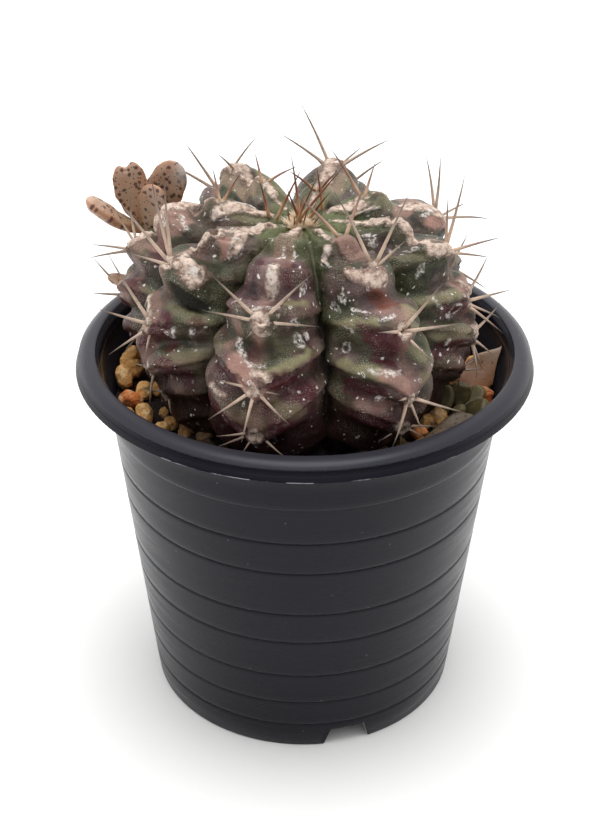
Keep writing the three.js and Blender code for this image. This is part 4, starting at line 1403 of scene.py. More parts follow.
            # Painted shade in the crease between areoles
            part["painted_shade"][:] = mound(phase, 0.45, 0.1) * smoothstep(s, 22, 36) * 0.4
            if rib.cork:
                width = rib.cork + 1.2 * noise.at(points[where], 7.0) - 0.12 * np.maximum(0, s - 24)
                crest_edge = np.where((s > 7) & (s < rib.areoles[2].at), np.abs(a) - width, FAR)
                np.minimum(part["cork"], crest_edge, out=part["cork"])
            for areole in rib.areoles:
                away = np.hypot((s - areole.at) * 1.15, a)
                pad = 2.2 if areole.at > 30 else 1.6 if areole.spines else 0.7
                np.minimum(part["cork"], away - pad, out=part["cork"])
                lumps += 0.45 * mound(away, 0, 3.0) - 0.9 * mound(away, 0, 1.1)
                # Painted shade in the areole's dimple
                np.maximum(part["painted_shade"], 0.85 * mound(away, 0, 0.9), out=part["painted_shade"])
            frayed = 0.8 * noise.at(points[where], 1.9)
            for kind, strokes in rib.marks.items():
                name, ring, raised = kind.value
                for stroke in strokes:
                    gap = self.patch(stroke, s, a)
                    gap = np.abs(gap) - 0.3 if ring else gap
                    edge_at = gap if name in ("cork", "scar") else gap + frayed
                    inside = (1 - smoothstep(edge_at, -0.6, 0.6)) * (stroke[5] if len(stroke) > 5 else 1)
                    lumps += inside * raised
                    if name in ("cork", "scar"):
                        np.minimum(part[name], gap, out=part[name])
                    elif kind != LUMP:
                        np.maximum(part[name], np.minimum(inside, 1), out=part[name])
        crusty = 1 - smoothstep(fields["cork"], -1.0, 0.6)
        relief += crusty * (0.6 * noise.at(points, 1.4) + 0.25 * small)
        relief += 0.4 * broad + 0.25 * noise.at(points, 4.5) + 0.16 * small - 0.35
        relief *= smoothstep(along, 1, 5) * (1 - smoothstep(along, 80, 86))
        # Painted shade: the body darkens low down and in its grooves, and its lower part turns wine red,
        # partly its own tone and partly painted shade
        low = 0.6 * smoothstep(along, 60, 74)
        fields["chin"] = np.maximum(fields["chin"], 0.8 * smoothstep(along, 54, 68))
        groove = 0.8 * smoothstep(side, 0.78, 1.0) * smoothstep(along, 22, 48)
        fields["painted_shade"] = np.clip(np.maximum(fields["painted_shade"], np.maximum(low, groove)), 0, 1)
        fresh = np.maximum(1 - smoothstep(along, 10, 28), 0.5 * smoothstep(side, 0.72, 0.95))
        fields["fresh"] = fresh * (0.75 + 0.25 * broad)
        for key in ("cork", "scar"):
            fields[key] = np.clip(fields[key] + (0.3 if key == "cork" else 0.0), -3, 3)
        return relief, fields

    def build(self, finish: Material) -> Object:
        """Builds the body.

        Args:
            finish: The skin.

        Returns:
            The finished piece.
        """
        sheet = self.grid()
        relief, fields = self.dress(sheet, SpaceNoise(self.seed))
        points = sheet["points"] + self.normals(sheet["points"]) * relief[..., None]
        rows, columns = relief.shape
        poles = [(self.middle_x, 0.0, self.crest.pairs[end][1]) for end in (0, -1)]
        faces = strip_faces(rows, columns, closed=True).tolist()
        top, last = rows * columns, (rows - 1) * columns
        for column in range(columns):
            after = (column + 1) % columns
            faces += [[top, column, after], [top + 1, last + after, last + column]]
        attributes = {
            key: np.concatenate([values.ravel(), values[0, :1], values[-1, :1]])
            for key, values in fields.items()
        }
        # The skin unrolled, with the ribs kept well apart
        unrolled = [sheet["along"] * MM, (sheet["aside"] + 100 * sheet["rib"]) * MM, np.zeros_like(relief)]
        flat = np.stack(unrolled, axis=-1).reshape(-1, 3)
        attributes["flat"] = np.concatenate([flat, flat[:1], flat[-1:]])
        every = np.concatenate([points.reshape(-1, 3), poles])
        return mesh_object("cactus_body", every, faces, attributes, finish, sharp_angle=180)


def growth_tree() -> NodeTree:
    """Makes the tree that grows one tapered, bowed spine or hair on every point.

    Returns:
        The geometry tree.
    """
    kinds = {"Sides": "Int", "Stations": "Int", "Taper": "Float", "Tip": "Float", "Finish": "Material"}
    tree, given = new_shape_tree("spines_on_points", kinds)
    sides, stations = given.outputs["Sides"], given.outputs["Stations"]
    rod = add(tree, "GeometryNodeMeshCylinder", sides, stations, 1, 1.0, 1.0, fill_type="NGON")
    here = add(tree, "SeparateXYZ", add(tree, "GeometryNodeInputPosition"))
    share = add(tree, "Math.ADD", here.outputs["Z"], 0.5)
    left = add(tree, "Math.SUBTRACT", 1.0, share, use_clamp=True)
    slim = add(tree, "Math.POWER", left, given.outputs["Taper"])
    size = add(tree, "Math.MAXIMUM", slim, given.outputs["Tip"])
    flat = [add(tree, "Math.MULTIPLY", here.outputs[axis], size) for axis in ("X", "Y")]
    shaped = add(tree, "GeometryNodeSetPosition", rod, {"Position": add(tree, "CombineXYZ", *flat, share)})
    stored = {"Name": "share", "Value": here.outputs["Z"]}
    marked = add(tree, "GeometryNodeStoreNamedAttribute", shaped, stored, data_type="FLOAT", domain="POINT")
    aim, lift = (
        add(tree, "GeometryNodeInputNamedAttribute", name, data_type="FLOAT_VECTOR")
        for name in ("aim", "lift")
    )
    reach, girth, bow, along = (
        add(tree, "GeometryNodeInputNamedAttribute", name, data_type="FLOAT")
        for name in ("reach", "girth", "bow", "share")
    )
    turn = add(tree, "FunctionNodeAlignRotationToVector", {"Vector": aim}, axis="Z")
    scale = add(tree, "CombineXYZ", girth, girth, reach)
    placed = {"Instance": marked, "Rotation": turn, "Scale": scale}
    copies = add(tree, "GeometryNodeInstanceOnPoints", given, placed)
    solid = add(tree, "GeometryNodeRealizeInstances", copies)
    rest = add(tree, "Math.SUBTRACT", 1.0, along)
    arch = add(tree, "Math.MULTIPLY", along, rest)
    height = add(tree, "Math.MULTIPLY", reach, bow)
    bend = add(tree, "Math.MULTIPLY", arch, height)
    offset = add(tree, "VectorMath.SCALE", lift, {"Scale": bend})
    bowed = add(tree, "GeometryNodeSetPosition", solid, {"Offset": offset})
    return close_shape_tree(tree, bowed, given)


@dataclass
class Growth:
    """A gathering of roots that spines or hairs grow from."""

    roots: list[Array] = field(default_factory=list)
    aims: list[Array] = field(default_factory=list)
    lifts: list[Array] = field(default_factory=list)
    sizes: list[tuple[float, float, float, float]] = field(default_factory=list)
    tip: float = 0.06

    def add_one(
        self, root: Array, aim: Array, lift: Array, length: float, girth: float, bow: float = 0.0,
        tint: float = 0.0
    ) -> None:
        """Adds one spine or hair.

        Args:
            root: Where it starts, in millimetres.
            aim: The direction it grows in.
            lift: The direction it bows in.
            length: Its length, in millimetres.
            girth: Its radius at the root, in millimetres.
            bow: Four times its sag for its length.
            tint: 0 for old, 1 for young.
        """
        self.roots.append(root)
        self.aims.append(unit(aim))
        self.lifts.append(unit(lift))
        self.sizes.append((length * MM, girth * MM, bow, tint))

    def build(
        self, name: str, tree: NodeTree, finish: Material, sides: int, stations: int, taper: float
    ) -> Object:
        """Grows the piece.

        Args:
            name: The piece's name.
            tree: The growth tree.
            finish: The material.
            sides: How many sides each spine has.
            stations: How many lengths each spine has.
            taper: How soon a spine thins, 1 for a straight cone.

        Returns:
            The finished piece.
        """
        sizes = np.array(self.sizes)
        attributes = {
            "aim": np.array(self.aims), "lift": np.array(self.lifts), "reach": sizes[:, 0],
            "girth": sizes[:, 1], "bow": sizes[:, 2], "tint": sizes[:, 3]
        }
        piece = mesh_object(name, np.array(self.roots), [], attributes)
        shape_with(
            piece, tree,
            {"Sides": sides, "Stations": stations, "Taper": taper, "Tip": self.tip, "Finish": finish}
        )
        return settle(piece)


@dataclass
class SpinyDress:
    """The spines, the felt in the areoles and the wool on the crown."""

    body: RibbedBody
    girth: float = 0.51
    sunk: float = 0.8
    seed: int = 5
    tufts: int = 8
    tuft_spines: int = 1
    tuft_hairs: int = 170
    felt_hairs: int = 26
    felt_radius: float = 1.3
    crown_reach: float = 3.5
    crown_floor: float = 126.7
    crown_strokes: tuple[tuple[Triple, Triple], ...] = (
        # Root and tip of each long spine on the crown
        ((-1.5, 1.0, 128.5), (-3.5, 3.0, 143.4)),
        ((-2.0, -1.0, 128.0), (8.6, -5.0, 144.0)),
        ((-6.9, -2.0, 129.0), (-1.0, -3.0, 142.4)),
        ((4.0, 5.0, 128.5), (2.6, 5.0, 139.2)),
        ((-1.0, -1.0, 128.0), (-4.3, -6.0, 138.8)),
        ((-2.5, -3.0, 128.0), (2.5, -4.0, 140.6)),
        ((-8.6, 0.0, 129.0), (-10.8, 0.0, 138.3)),
        ((1.0, 1.0, 128.0), (5.5, -4.0, 137.0)),
    )

    def frame_at(self, index: int, at: float) -> tuple[Array, Array, Array, Array]:
        """Gives an areole's place and its crownward, sideways and outward directions."""
        azimuth = math.radians(RIBS[index].azimuth)
        outward = np.array([math.cos(azimuth), math.sin(azimuth), 0])
        sideways = np.array([-math.sin(azimuth), math.cos(azimuth), 0])
        tangent = self.body.crest.tangent(self.body.crest.step_at(np.array(at)))
        crownward = outward * -tangent[0] + np.array([0, 0, -tangent[1]])
        normal = outward * -tangent[1] + np.array([0, 0, tangent[0]])
        place = self.body.place(index, np.array(at), np.array(0.0))
        return place, crownward, sideways, normal

    def build(self, horn: Material, felt: Material) -> tuple[Object, Object]:
        """Grows the spines and the felt.

        Args:
            horn: The spines' finish.
            felt: The wool's finish.

        Returns:
            The spines and the felt.
        """
        random = np.random.default_rng(self.seed)
        spines, hairs = Growth(), Growth()
        for index, rib in enumerate(RIBS):
            for areole in rib.areoles:
                place, crownward, sideways, normal = self.frame_at(index, areole.at)
                youth = areole.young
                for clock, lean, length in areole.spines:
                    turn, tilt = math.radians(clock), math.radians(lean)
                    flat = crownward * math.cos(turn) + sideways * math.sin(turn)
                    aim = flat * math.sin(tilt) + normal * math.cos(tilt)
                    start = place + flat * 0.5 - normal * self.sunk
                    girth = self.girth * min(1.0, 0.62 + length / 36)
                    bow = random.uniform(0.06, 0.2)
                    spines.add_one(start, aim, normal, length + self.sunk, girth, bow, youth)
                for _ in range(self.felt_hairs):
                    turn = random.uniform(0, 2 * math.pi)
                    distance = self.felt_radius * math.sqrt(random.random())
                    flat = crownward * math.cos(turn) + sideways * math.sin(turn)
                    aim = flat * random.uniform(0.1, 0.9) + normal
                    root = place + flat * distance - normal * 0.3
                    hairs.add_one(root, aim, crownward, random.uniform(0.6, 1.1), 0.1, 0.3, youth)
        up = np.array([0, 0, 1.0])
        for root, tip in self.crown_strokes:
            reach = np.array(tip) - np.array(root)
            lift = np.array([reach[1], -reach[0], 4.0])
            spines.add_one(np.array(root), reach, lift, float(np.linalg.norm(reach)), 0.46, 0.1, 1.0)
        for i in range(self.tufts):
            angle = math.radians(i * GOLDEN_ANGLE)
            out = np.array([math.cos(angle), math.sin(angle), 0])
            distance = self.crown_reach * math.sqrt((i + 0.5) / self.tufts)
            spot = out * distance + np.array([self.body.middle_x, 0, self.crown_floor + 0.28 * distance])
            for _ in range(self.tuft_spines):
                aim = out * random.uniform(0, 1.0) + np.cross(out, up) * random.uniform(-0.6, 0.6) + up
                spines.add_one(spot, aim, out, random.uniform(3, 7), 0.26, random.uniform(0.1, 0.3), 1.0)
            for _ in range(self.tuft_hairs):
                sway = random.uniform(-1, 1, 3) * (1, 1, 0)
                root = spot + sway * 1.1
                length = random.uniform(0.6, 2.0)
                hairs.add_one(root, up * 0.9 + sway, out, length, 0.1, random.uniform(-0.8, 0.8), 1.0)
        tree = growth_tree()
        return (
            spines.build("cactus_spines", tree, horn, sides=9, stations=12, taper=0.75),
            hairs.build("cactus_areole_wool", tree, felt, sides=3, stations=3, taper=0.8)
        )


# The gravel

# Height and radius of the room that the pot's inside leaves for gravel and leaves
ROOM = ((70, 45.2), (86.9, 47.1), (87.9, 47.4), (93.4, 49.4), (95, 50.2), (95.4, 70))


def pressed(points: Array) -> Array:
    """Presses what would stand through the pot's wall flat against its inside.

    Args:
        points: Places, in millimetres.

    Returns:
        The places inside the wall.
    """
    radius = np.hypot(points[:, 0], points[:, 1])
    room = np.interp(points[:, 2], *np.array(ROOM).T)
    kept = np.where(radius > room, room + 0.15 * (radius - room), radius)
    return points * np.stack([kept / radius, kept / radius, np.ones_like(radius)], axis=-1)


def grain_tree() -> NodeTree:
    """Makes the tree that puts one chipped grain on every point.

    Returns:
        The geometry tree.
    """
    kinds = {"Fineness": "Int", "Chip size": "Float", "Chip depth": "Float", "Finish": "Material"}
    tree, given = new_shape_tree("grains_on_points", kinds)
    ball = add(tree, "GeometryNodeMeshIcoSphere", 1.0, given.outputs["Fineness"])
    size, turn = (
        add(tree, "GeometryNodeInputNamedAttribute", name, data_type="FLOAT_VECTOR")
        for name in ("size", "turn")
    )
    turned = add(tree, "FunctionNodeEulerToRotation", turn)
    placed = {"Instance": ball, "Rotation": turned, "Scale": size}
    copies = add(tree, "GeometryNodeInstanceOnPoints", given, placed)
    solid = add(tree, "GeometryNodeRealizeInstances", copies)
    chip = add(tree, "Math.DIVIDE", 1.0, given.outputs["Chip size"])
    cells = add(tree, "TexVoronoi", {"Scale": chip})
    middle = add(tree, "Math.SUBTRACT", cells, 0.45)
    depth = add(tree, "Math.MULTIPLY", middle, given.outputs["Chip depth"])
    normal = add(tree, "GeometryNodeInputNormal")
    offset = add(tree, "VectorMath.SCALE", normal, {"Scale": depth})
    chipped = add(tree, "GeometryNodeSetPosition", solid, {"Offset": offset})
    return close_shape_tree(tree, chipped, given)


@dataclass(frozen=True)
class Grain:
    """One grain: its middle, its mean radius, and its tint from ochre at 0 to rust at 1."""

    middle: Triple
    radius: float
    tint: float


# The large grains at the pot's left and the two at its right that stand out
SHOWN_GRAINS = (
    Grain((-45.4, 8.6, 84.2), 2.6, 0.1), Grain((-44.2, 12.8, 84.4), 2.4, 0.1),
    Grain((-42.8, 6.0, 84.2), 2.3, 0.2), Grain((-45.0, 1.4, 84.4), 2.7, 0.25),
    Grain((-42.4, -8.2, 83.8), 2.6, 0.85), Grain((-39.6, -4.8, 84.0), 2.5, 0.45),
    Grain((-38.6, -15.0, 83.6), 2.6, 0.5), Grain((-34.4, -20.6, 82.8), 2.2, 0.6),
    Grain((27.1, -22.6, 83.6), 1.9, 0.8)
)


@dataclass
class GravelBed:
    """Loose grains over dark grit, in the ring between the cactus and the pot."""

    pot: NurseryPot
    seed: int = 11
    inner: float = 27.0
    low: float = 79.4
    top: float = 81.6
    shown: tuple[Grain, ...] = ()
    # The inmost grains behind the cactus are left out, which keeps the piece light
    inmost: float = 34.3
    behind: float = 24.7
    # Each ring of grains: its radius and how many are tried
    rings: tuple[tuple[float, int], ...] = ((44.0, 52), (40.5, 50), (36.5, 40), (33.0, 34))
    fineness: int = 4
    chip_size: float = 1.9
    chip_depth: float = 1.0
    # Where the painted shade on the grains is deepest, and how far round it spreads, in degrees
    shade_azimuth: float = -92.0
    shade_spread: float = 58.0
    grit_seed: int = 3
    # The young plant stands here
    clearing: tuple[tuple[float, float], float] = ((38.5, -9.5), 5.5)

    def wall_at(self, height: float) -> float:
        """Gives the pot's inside radius at a height."""
        return self.pot.wall_radius(height) - self.pot.wall

    def bed(self, finish: Material) -> Object:
        """Makes the grit under the grains: a closed ring with an uneven top.

        Args:
            finish: The grit's material.

        Returns:
            The finished piece.
        """
        noise = SpaceNoise(self.grit_seed)
        angles = np.linspace(0, 2 * math.pi, 240, endpoint=False)
        outer = self.wall_at(self.top) - 0.4
        radii = np.concatenate([np.linspace(outer, self.inner, 26), [self.inner, outer]])
        ring = np.stack([np.cos(angles), np.sin(angles), np.zeros_like(angles)], axis=-1)
        points = radii[:, None, None] * ring
        points[..., 2] = self.top + 0.7 * noise.at(points, 2.2) + 0.5 * noise.at(points, 5.0)
        # The last two rings are the underside
        points[-2:, :, 2] = self.low
        points = points.reshape(-1, 3)
        faces = strip_faces(len(radii) + 1, len(angles), closed=True) % len(points)
        return settle(mesh_object("gravel_grit", points, faces, None, finish))

    def build(self, finish: Material) -> Object:
        """Scatters the grains.

        Args:
            finish: The grains' material.

        Returns:
            The finished piece.
        """
        random = np.random.default_rng(self.seed)
        grains = [(grain.middle, grain.radius, grain.tint) for grain in self.shown]
        kept_clear = [(grain.middle, grain.radius) for grain in self.shown] + [self.clearing]
        for ring, count in self.rings:
            for i in range(count):
                angle = 2 * math.pi * (i + random.uniform(0, 0.7)) / count
                size = random.uniform(1.5, 3.0)
                reach = min(ring + random.uniform(-1.2, 1.2), self.wall_at(82) - size - 0.3)
                place = (
                    reach * math.cos(angle), reach * math.sin(angle), self.top + random.uniform(0.2, 1.6)
                )
                near = min(math.dist(place[:2], middle[:2]) - radius for middle, radius in kept_clear)
                if near > size * 0.8:
                    grains.append((place, size, random.random()))
        middles, radii, tints = (np.array(values) for values in zip(*grains))
        sizes, turns, front_shades = [], [], []
        for number, (x, y, _) in enumerate(middles):
            sizes.append([random.uniform(0.9, 1.15), 1.0, random.uniform(0.7, 0.9)])
            turns.append(random.uniform(0, 2 * math.pi, 3))
            # Painted shade: grains towards the front are darkened, with a little random darkening besides;
            # the grains that stand out are barely darkened
            front = mound(math.degrees(math.atan2(y, x)), self.shade_azimuth, self.shade_spread)
            shown = number < len(self.shown)
            front_shades.append(0.1 if shown else min(1.0, front * 1.1 + 0.25 * random.random()))
        scales = radii[:, None] * np.array(sizes) * MM
        attributes = {"size": scales, "turn": np.array(turns), "tint": tints, "front_shade": np.array(front_shades)}
        inmost = np.hypot(middles[:, 0], middles[:, 1]) < self.inmost
        kept = ~(inmost & (middles[:, 1] > self.behind))
        attributes = {key: values[kept] for key, values in attributes.items()}
        piece = mesh_object("gravel_grains", middles[kept], [], attributes)
        chips = {"Chip size": self.chip_size * MM, "Chip depth": self.chip_depth * MM}
        shape_with(piece, grain_tree(), {"Fineness": self.fineness, **chips, "Finish": finish})
        settle(piece, 50)
        places = np.empty(3 * len(piece.data.vertices))
        piece.data.vertices.foreach_get("co", places)
        piece.data.vertices.foreach_set("co", (pressed(places.reshape(-1, 3) / MM) * MM).ravel())
        piece.data.update()
        return piece


# The leaves

# Half widths along a leaf, as shares of its length and of its half width
ROUNDED = (
    (0, 0.2), (0.1, 0.36), (0.2, 0.5), (0.31, 0.68), (0.42, 0.86), (0.53, 0.96), (0.64, 1), (0.75, 0.97),
    (0.84, 0.87), (0.92, 0.68), (0.97, 0.47), (0.99, 0.3), (1, 0.02)
)
POINTED = ((0, 0.3), (0.12, 0.55), (0.3, 0.9), (0.48, 1), (0.62, 0.88), (0.8, 0.5), (1, 0.02))
# A closed surface as points, faces and fields
Sheet = tuple[Array, list[list[int]], dict[str, Array]]


def axes_along(start: Triple, end: Triple, face: Triple) -> tuple[Array, float, Array, Array, Array]:
    """Sets up the axes that a leaf or a stem is laid out on.

    Args:
        start: Where it starts.
        end: Where it ends.
        face: The way that its upper face looks, roughly.

    Returns:
        The start, the length, and the directions ahead, aside and out of the face.
    """
    foot, way = np.array(start), np.array(end) - np.array(start)
    ahead = unit(way)
    aside = unit(np.cross(ahead, np.array(face)))
    return foot, float(np.linalg.norm(way)), ahead, aside, np.cross(aside, ahead)


def tube_faces(rows: int, columns: int) -> list[list[int]]:
    """Numbers the faces of rings of points, row after row, with a cap at each end."""
    last = (rows - 1) * columns
    caps = [list(range(columns)), list(range(last + columns - 1, last - 1, -1))]
    return strip_faces(rows, columns, closed=True).tolist() + caps


@dataclass(frozen=True)
class Leaf:
    """A fleshy leaf from base to tip, with its width and the way its upper face looks."""

    base: Triple
    tip: Triple
    width: float
    face: Triple
    thickness: float = 2.2
    notch: float = 0.0
    wave: float = 0.0
    cup: float = 0.06
    scallop: float = 0.0
    bleached: float = 0.0
    pointed: float = 0.0
    one_edge: bool = False

    def surface(self, noise: SpaceNoise) -> Sheet:
        """Lays out the leaf's closed surface.

        Args:
            noise: The seeded noise that makes it uneven.

        Returns:
            The surface, with the fields that its colours follow.
        """
        start, length, ahead, aside, out = axes_along(self.base, self.tip, self.face)
        shares = 0.5 * (1 - np.cos(np.linspace(0, math.pi, 40)))
        rounded, pointed = (np.interp(shares, *np.array(pairs).T) for pairs in (ROUNDED, POINTED))
        outline = rounded + (pointed - rounded) * self.pointed
        outline = outline * (1 + self.scallop * np.sin(shares * 24) * (1 - shares))
        turns = np.linspace(0, 2 * math.pi, 28, endpoint=False)
        cross = np.cos(turns)
        lens = np.sign(np.sin(turns)) * np.abs(np.sin(turns)) ** 0.8
        spread = outline[:, None] * cross[None, :]
        body = np.minimum(1, 0.35 + shares * 3)[:, None] * np.minimum(
            1, (1.001 - shares) * 9
        )[:, None] ** 0.5
        up = lens[None, :] * body * self.thickness / 2
        cup = np.sin(shares * math.pi)[:, None] * length * self.cup
        waves = self.wave * np.sin(shares * 9 + 1.3)[:, None] * spread**2
        tip_notch = self.notch * mound(spread, 0, 0.3) * smoothstep(shares, 0.7, 1.0)[:, None]
        run = shares[:, None] * length - tip_notch
        side = spread * self.width / 2
        raised = up - cup + waves + 0.12 * self.width * spread**2
        points = start + ahead * run[..., None] + aside * side[..., None] + out * raised[..., None]
        points = points + out * (0.18 * noise.at(points, 2.5))[..., None]
        rows, columns = len(shares), len(turns)
        bleached = smoothstep(shares, 0.7, 0.9)[:, None] * smoothstep(cross, -0.2, 0.6)
        # One edge alone takes the edge colour: partly the leaf's own brown and partly painted shade along
        # its lower side
        edge = np.clip(0.5 + 0.9 * cross, 0, 1) if self.one_edge else np.abs(cross)
        fields = {
            "share": np.repeat(shares, columns), "across": np.tile(edge, rows),
            "bleached": (self.bleached * bleached).ravel(),
            "flat": np.stack([run, side, np.zeros_like(run)], axis=-1).reshape(-1, 3) * MM
        }
        return points.reshape(-1, 3), tube_faces(rows, columns), fields


@dataclass(frozen=True)
class Stem:
    """A short round stem."""

    foot: Triple
    head: Triple
    radius: float

    def surface(self, noise: SpaceNoise) -> Sheet:
        """Lays out the stem's closed surface, with a few leaf scars.

        Args:
            noise: The seeded noise that makes it uneven.

        Returns:
            The surface, with the fields that a leaf has.
        """
        start, length, ahead, aside, out = axes_along(self.foot, self.head, (0.0, 1.0, 0.1))
        shares = np.linspace(0, 1, 40)
        turns = np.linspace(0, 2 * math.pi, 20, endpoint=False)
        scars = 1 + 0.08 * np.sin(shares * 34) ** 8
        taper = np.minimum(1, (1.02 - shares) * 14) ** 0.5
        radius = self.radius * (scars * taper)[:, None]
        run = (shares * length)[:, None, None]
        across, raised = (radius * np.cos(turns))[..., None], (radius * np.sin(turns))[..., None]
        points = start + ahead * run + aside * across + out * raised
        points = points + out * (0.12 * noise.at(points, 3.0))[..., None]
        rows, columns = len(shares), len(turns)
        zeros = np.zeros(rows * columns)
        flat = np.stack([np.repeat(shares * 0.01, columns), zeros, zeros], axis=-1)
        fields = {
            "share": np.repeat(shares * 0.2, columns), "across": zeros, "bleached": zeros, "flat": flat
        }
        return points.reshape(-1, 3), tube_faces(rows, columns), fields


@dataclass
class LeafyPiece:
    """Leaves and stems of one small plant, or a single leaf, as one piece."""

    name: str
    parts: tuple[Leaf | Stem, ...]
    seed: int = 4

    def build(self, finish: Material) -> Object:
        """Builds the piece.

        Args:
            finish: The leaf's material.

        Returns:
            The finished piece.
        """
        noise = SpaceNoise(self.seed)
        points: list[Array] = []
        faces: list[list[int]] = []
        fields: dict[str, list[Array]] = {}
        for part in self.parts:
            own, own_faces, own_fields = part.surface(noise)
            own_fields["flat"] = own_fields["flat"] + np.array([0.05 * len(points), 0, 0])
            start = sum(len(block) for block in points)
            points.append(own)
            faces += [[start + number for number in face] for face in own_faces]
            for key, values in own_fields.items():
                fields.setdefault(key, []).append(values)
        attributes = {key: np.concatenate(values) for key, values in fields.items()}
        piece = mesh_object(self.name, pressed(np.concatenate(points)), faces, attributes, finish)
        return settle(piece, 70)


COMPANION_FOOT = (-35, 24.5, 74)
COMPANION_HEAD = (-40.5, 24.5, 113.5)
COMPANION = LeafyPiece(
    "speckled_succulent",
    (
        Stem(COMPANION_FOOT, COMPANION_HEAD, 1.9),
        Leaf(COMPANION_HEAD, (-44.8, 25.5, 132), 8.8, (0.25, -1, 0.1), notch=1.6, scallop=0.1),
        Leaf(COMPANION_HEAD, (-31.4, 24, 132.4), 9.6, (-0.2, -1, 0.15), scallop=0.1, bleached=0.7),
        Leaf(COMPANION_HEAD, (-36.2, 19.5, 128), 8.0, (-0.35, -1, 0.2), scallop=0.08),
        Leaf(COMPANION_HEAD, (-54.2, 21.5, 123.4), 7.4, (-0.5, -0.15, 1), 3.2, scallop=0.06),
        Leaf(COMPANION_HEAD, (-44.5, 33.5, 124), 8, (0.2, 1, 0.3)),
        Leaf((-38.3, 24.5, 98), (-50.0, 20.8, 102.6), 3.8, (-0.3, -0.6, 1))
    )
)
SHOOT_HEAD = (37.6, -9.4, 81.4)
SHOOT = LeafyPiece(
    "young_succulent",
    (
        Stem((37.6, -9.6, 75), SHOOT_HEAD, 1.5),
        Leaf((33.4, -12.5, 81.5), (34.6, -6.6, 87.4), 4.6, (-0.5, -1, 0.5), 3.4),
        Leaf((37.2, -8.6, 81.5), (38.6, -6.2, 88.0), 5.4, (0.2, -1, 0.4), 3.8),
        Leaf(SHOOT_HEAD, (44.4, -13.4, 85.6), 5.0, (0.4, -0.6, 1), 3.2),
        Leaf(SHOOT_HEAD, (37.2, -14.6, 85.4), 3.6, (-0.4, 0.4, 1), 2.6),
        Leaf(SHOOT_HEAD, (43.8, -4.6, 85.6), 4.6, (-2.0, -3.0, 4), 3.0)
    )
)
LARGE_DROPPED_LEAF = LeafyPiece(
    "fallen_leaf_large",
    (
        Leaf(
            (38.2, -4.4, 83.4), (50.3, 5.2, 91.8), 8.8, (0.35, -0.75, 0.8), 2.6, wave=0.7, cup=0.14,
            pointed=1.0, one_edge=True
        ),
    )
)
SMALL_DROPPED_LEAF = LeafyPiece(
    "fallen_leaf_small",
    (Leaf((28.2, -28.0, 85.2), (40.6, -20.2, 86.6), 7.4, (0.0, -0.1, 1), 1.6, wave=0.3),)
)


# The studio


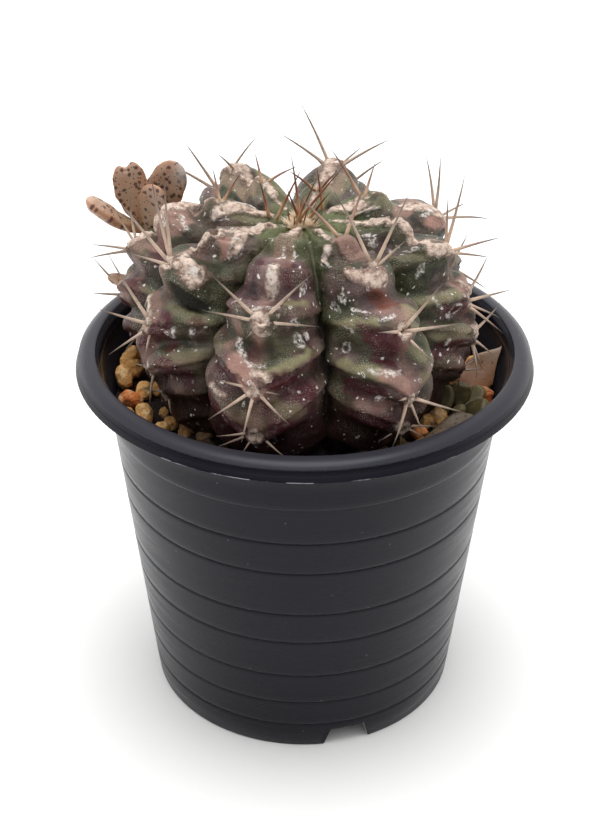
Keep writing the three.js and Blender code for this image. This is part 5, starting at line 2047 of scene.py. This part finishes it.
@dataclass
class Studio:
    """A plain pale floor, soft light and the camera that took the photograph."""

    focal_pixels: float = 1656.63
    frame_height: float = 822.0
    sensor: float = 36.0
    distance: float = 415.755
    elevation: float = 31.3955
    aim_height: float = 75.731
    camera_x: float = -1.109
    roll: float = 0.278
    front_light: float = 0.34
    side_light: float = 0.42
    high_light: float = 0.7
    top_light: float = 5.0
    backdrop_light: float = 1.25
    floor_radius: float = 6000.0
    floor_sides: int = 64

    def camera(self) -> None:
        """Sets up the camera."""
        data = bpy.data.cameras.new("photo_camera")
        data.sensor_fit = "VERTICAL"
        data.sensor_height = self.sensor
        data.lens = self.focal_pixels / self.frame_height * self.sensor
        data.clip_start = 0.01
        tilt, roll = math.radians(self.elevation), math.radians(self.roll)
        right, up = np.array([1.0, 0, 0]), np.array([0, math.sin(tilt), math.cos(tilt)])
        ahead = np.array([0, math.cos(tilt), -math.sin(tilt)])
        own_x = right * math.cos(roll) + up * math.sin(roll)
        own_y = up * math.cos(roll) - right * math.sin(roll)
        place = np.array([self.camera_x, 0, self.aim_height]) - self.distance * ahead
        camera = bpy.data.objects.new("photo_camera", data)
        rows = np.stack([own_x, own_y, -ahead, place * MM], axis=1)
        camera.matrix_world = Matrix([*rows.tolist(), [0, 0, 0, 1]])
        bpy.context.scene.collection.objects.link(camera)
        bpy.context.scene.camera = camera

    def lights(self) -> None:
        """Sets up a white tent: bright above, behind and at the sides, dim behind the camera."""
        scene = bpy.context.scene
        scene.view_settings.view_transform = "Standard"
        world = bpy.data.worlds.new("white_tent")
        world.use_nodes = True
        tree = world.node_tree
        tree.nodes.clear()
        way = add(tree, "SeparateXYZ", add(tree, "TexCoord").outputs["Generated"])
        behind = add(tree, "MapRange", way.outputs["Y"], -0.8, 0.1, self.front_light, self.side_light)
        high = add(tree, "MapRange", way.outputs["Z"], 0.3, 0.9, 0.0, self.high_light)
        top = add(tree, "MapRange", way.outputs["Z"], 0.9, 0.97, 0.0, self.top_light)
        low = add(tree, "MapRange", way.outputs["Z"], 0.7, 0.2, 0.0, self.backdrop_light)
        away = add(tree, "MapRange", way.outputs["Y"], -0.5, 0.0)
        sides = add(tree, "Math.MULTIPLY_ADD", low, away, behind)
        above = add(tree, "Math.ADD", high, top)
        total = add(tree, "Math.ADD", sides, above)
        add(tree, "OutputWorld", add(tree, "Background", (1, 1, 1, 1), total))
        scene.world = world

    def floor(self) -> None:
        """Lays the floor."""
        angles = np.linspace(0, 2 * math.pi, self.floor_sides, endpoint=False)
        ring = self.floor_radius * np.stack([np.cos(angles), np.sin(angles), np.zeros_like(angles)], axis=-1)
        faces = [list(range(self.floor_sides))]
        floor = mesh_object("pale_floor", ring, faces, None, PaleFloor().material())


def report(piece: Object, slot: str, *replaced: str) -> None:
    """Hands a finished piece to the frame and logs it.

    Args:
        piece: The finished object.
        slot: Not used.
        replaced: The CAD nodes that it stands for.
    """
    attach(piece, "root")
    if replaced:
        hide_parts(*replaced)
    LOG.info("%s: %d faces, stands for %s", piece.name, len(piece.data.polygons), replaced or "nothing")


def main() -> None:
    """Builds the scene around the frame, piece by piece."""
    logging.basicConfig(level=logging.INFO, format="%(message)s")
    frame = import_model()
    studio = Studio()
    studio.camera()
    studio.lights()
    studio.floor()

    mix = frame["nodes"]["potting_mix"]
    soil = PottingMix().material()
    mix.data.materials.clear()
    mix.data.materials.append(soil)

    pot = NurseryPot()
    report(pot.build(MouldedPlastic().material()), "pot_plastic", "pot")

    gravel = GravelBed(pot, shown=SHOWN_GRAINS)
    report(gravel.bed(soil), "gravel", "gravel_topdressing")
    report(gravel.build(FiredClayGrain().material()), "gravel", "gravel_topdressing")

    body = RibbedBody()
    report(body.build(CactusSkin().material()), "cactus_skin", "cactus")
    spines, wool = SpinyDress(body).build(SpineHorn().material(), AreoleFelt().material())
    report(spines, "cactus_skin", "cactus")
    report(wool, "cactus_skin", "cactus")

    for plant, skin, slot, node in (
        (COMPANION, SPECKLED_SKIN, "speckled_leaf", "companion_plant"),
        (SHOOT, YOUNG_SKIN, "young_leaf", "young_plant"),
        (LARGE_DROPPED_LEAF, DRY_SKIN, "dry_leaf", "dropped_leaf_large"),
        (SMALL_DROPPED_LEAF, GREY_SKIN, "dry_leaf", "dropped_leaf_small")
    ):
        report(plant.build(skin.material()), slot, node)


if __name__ == "__main__":
    main()
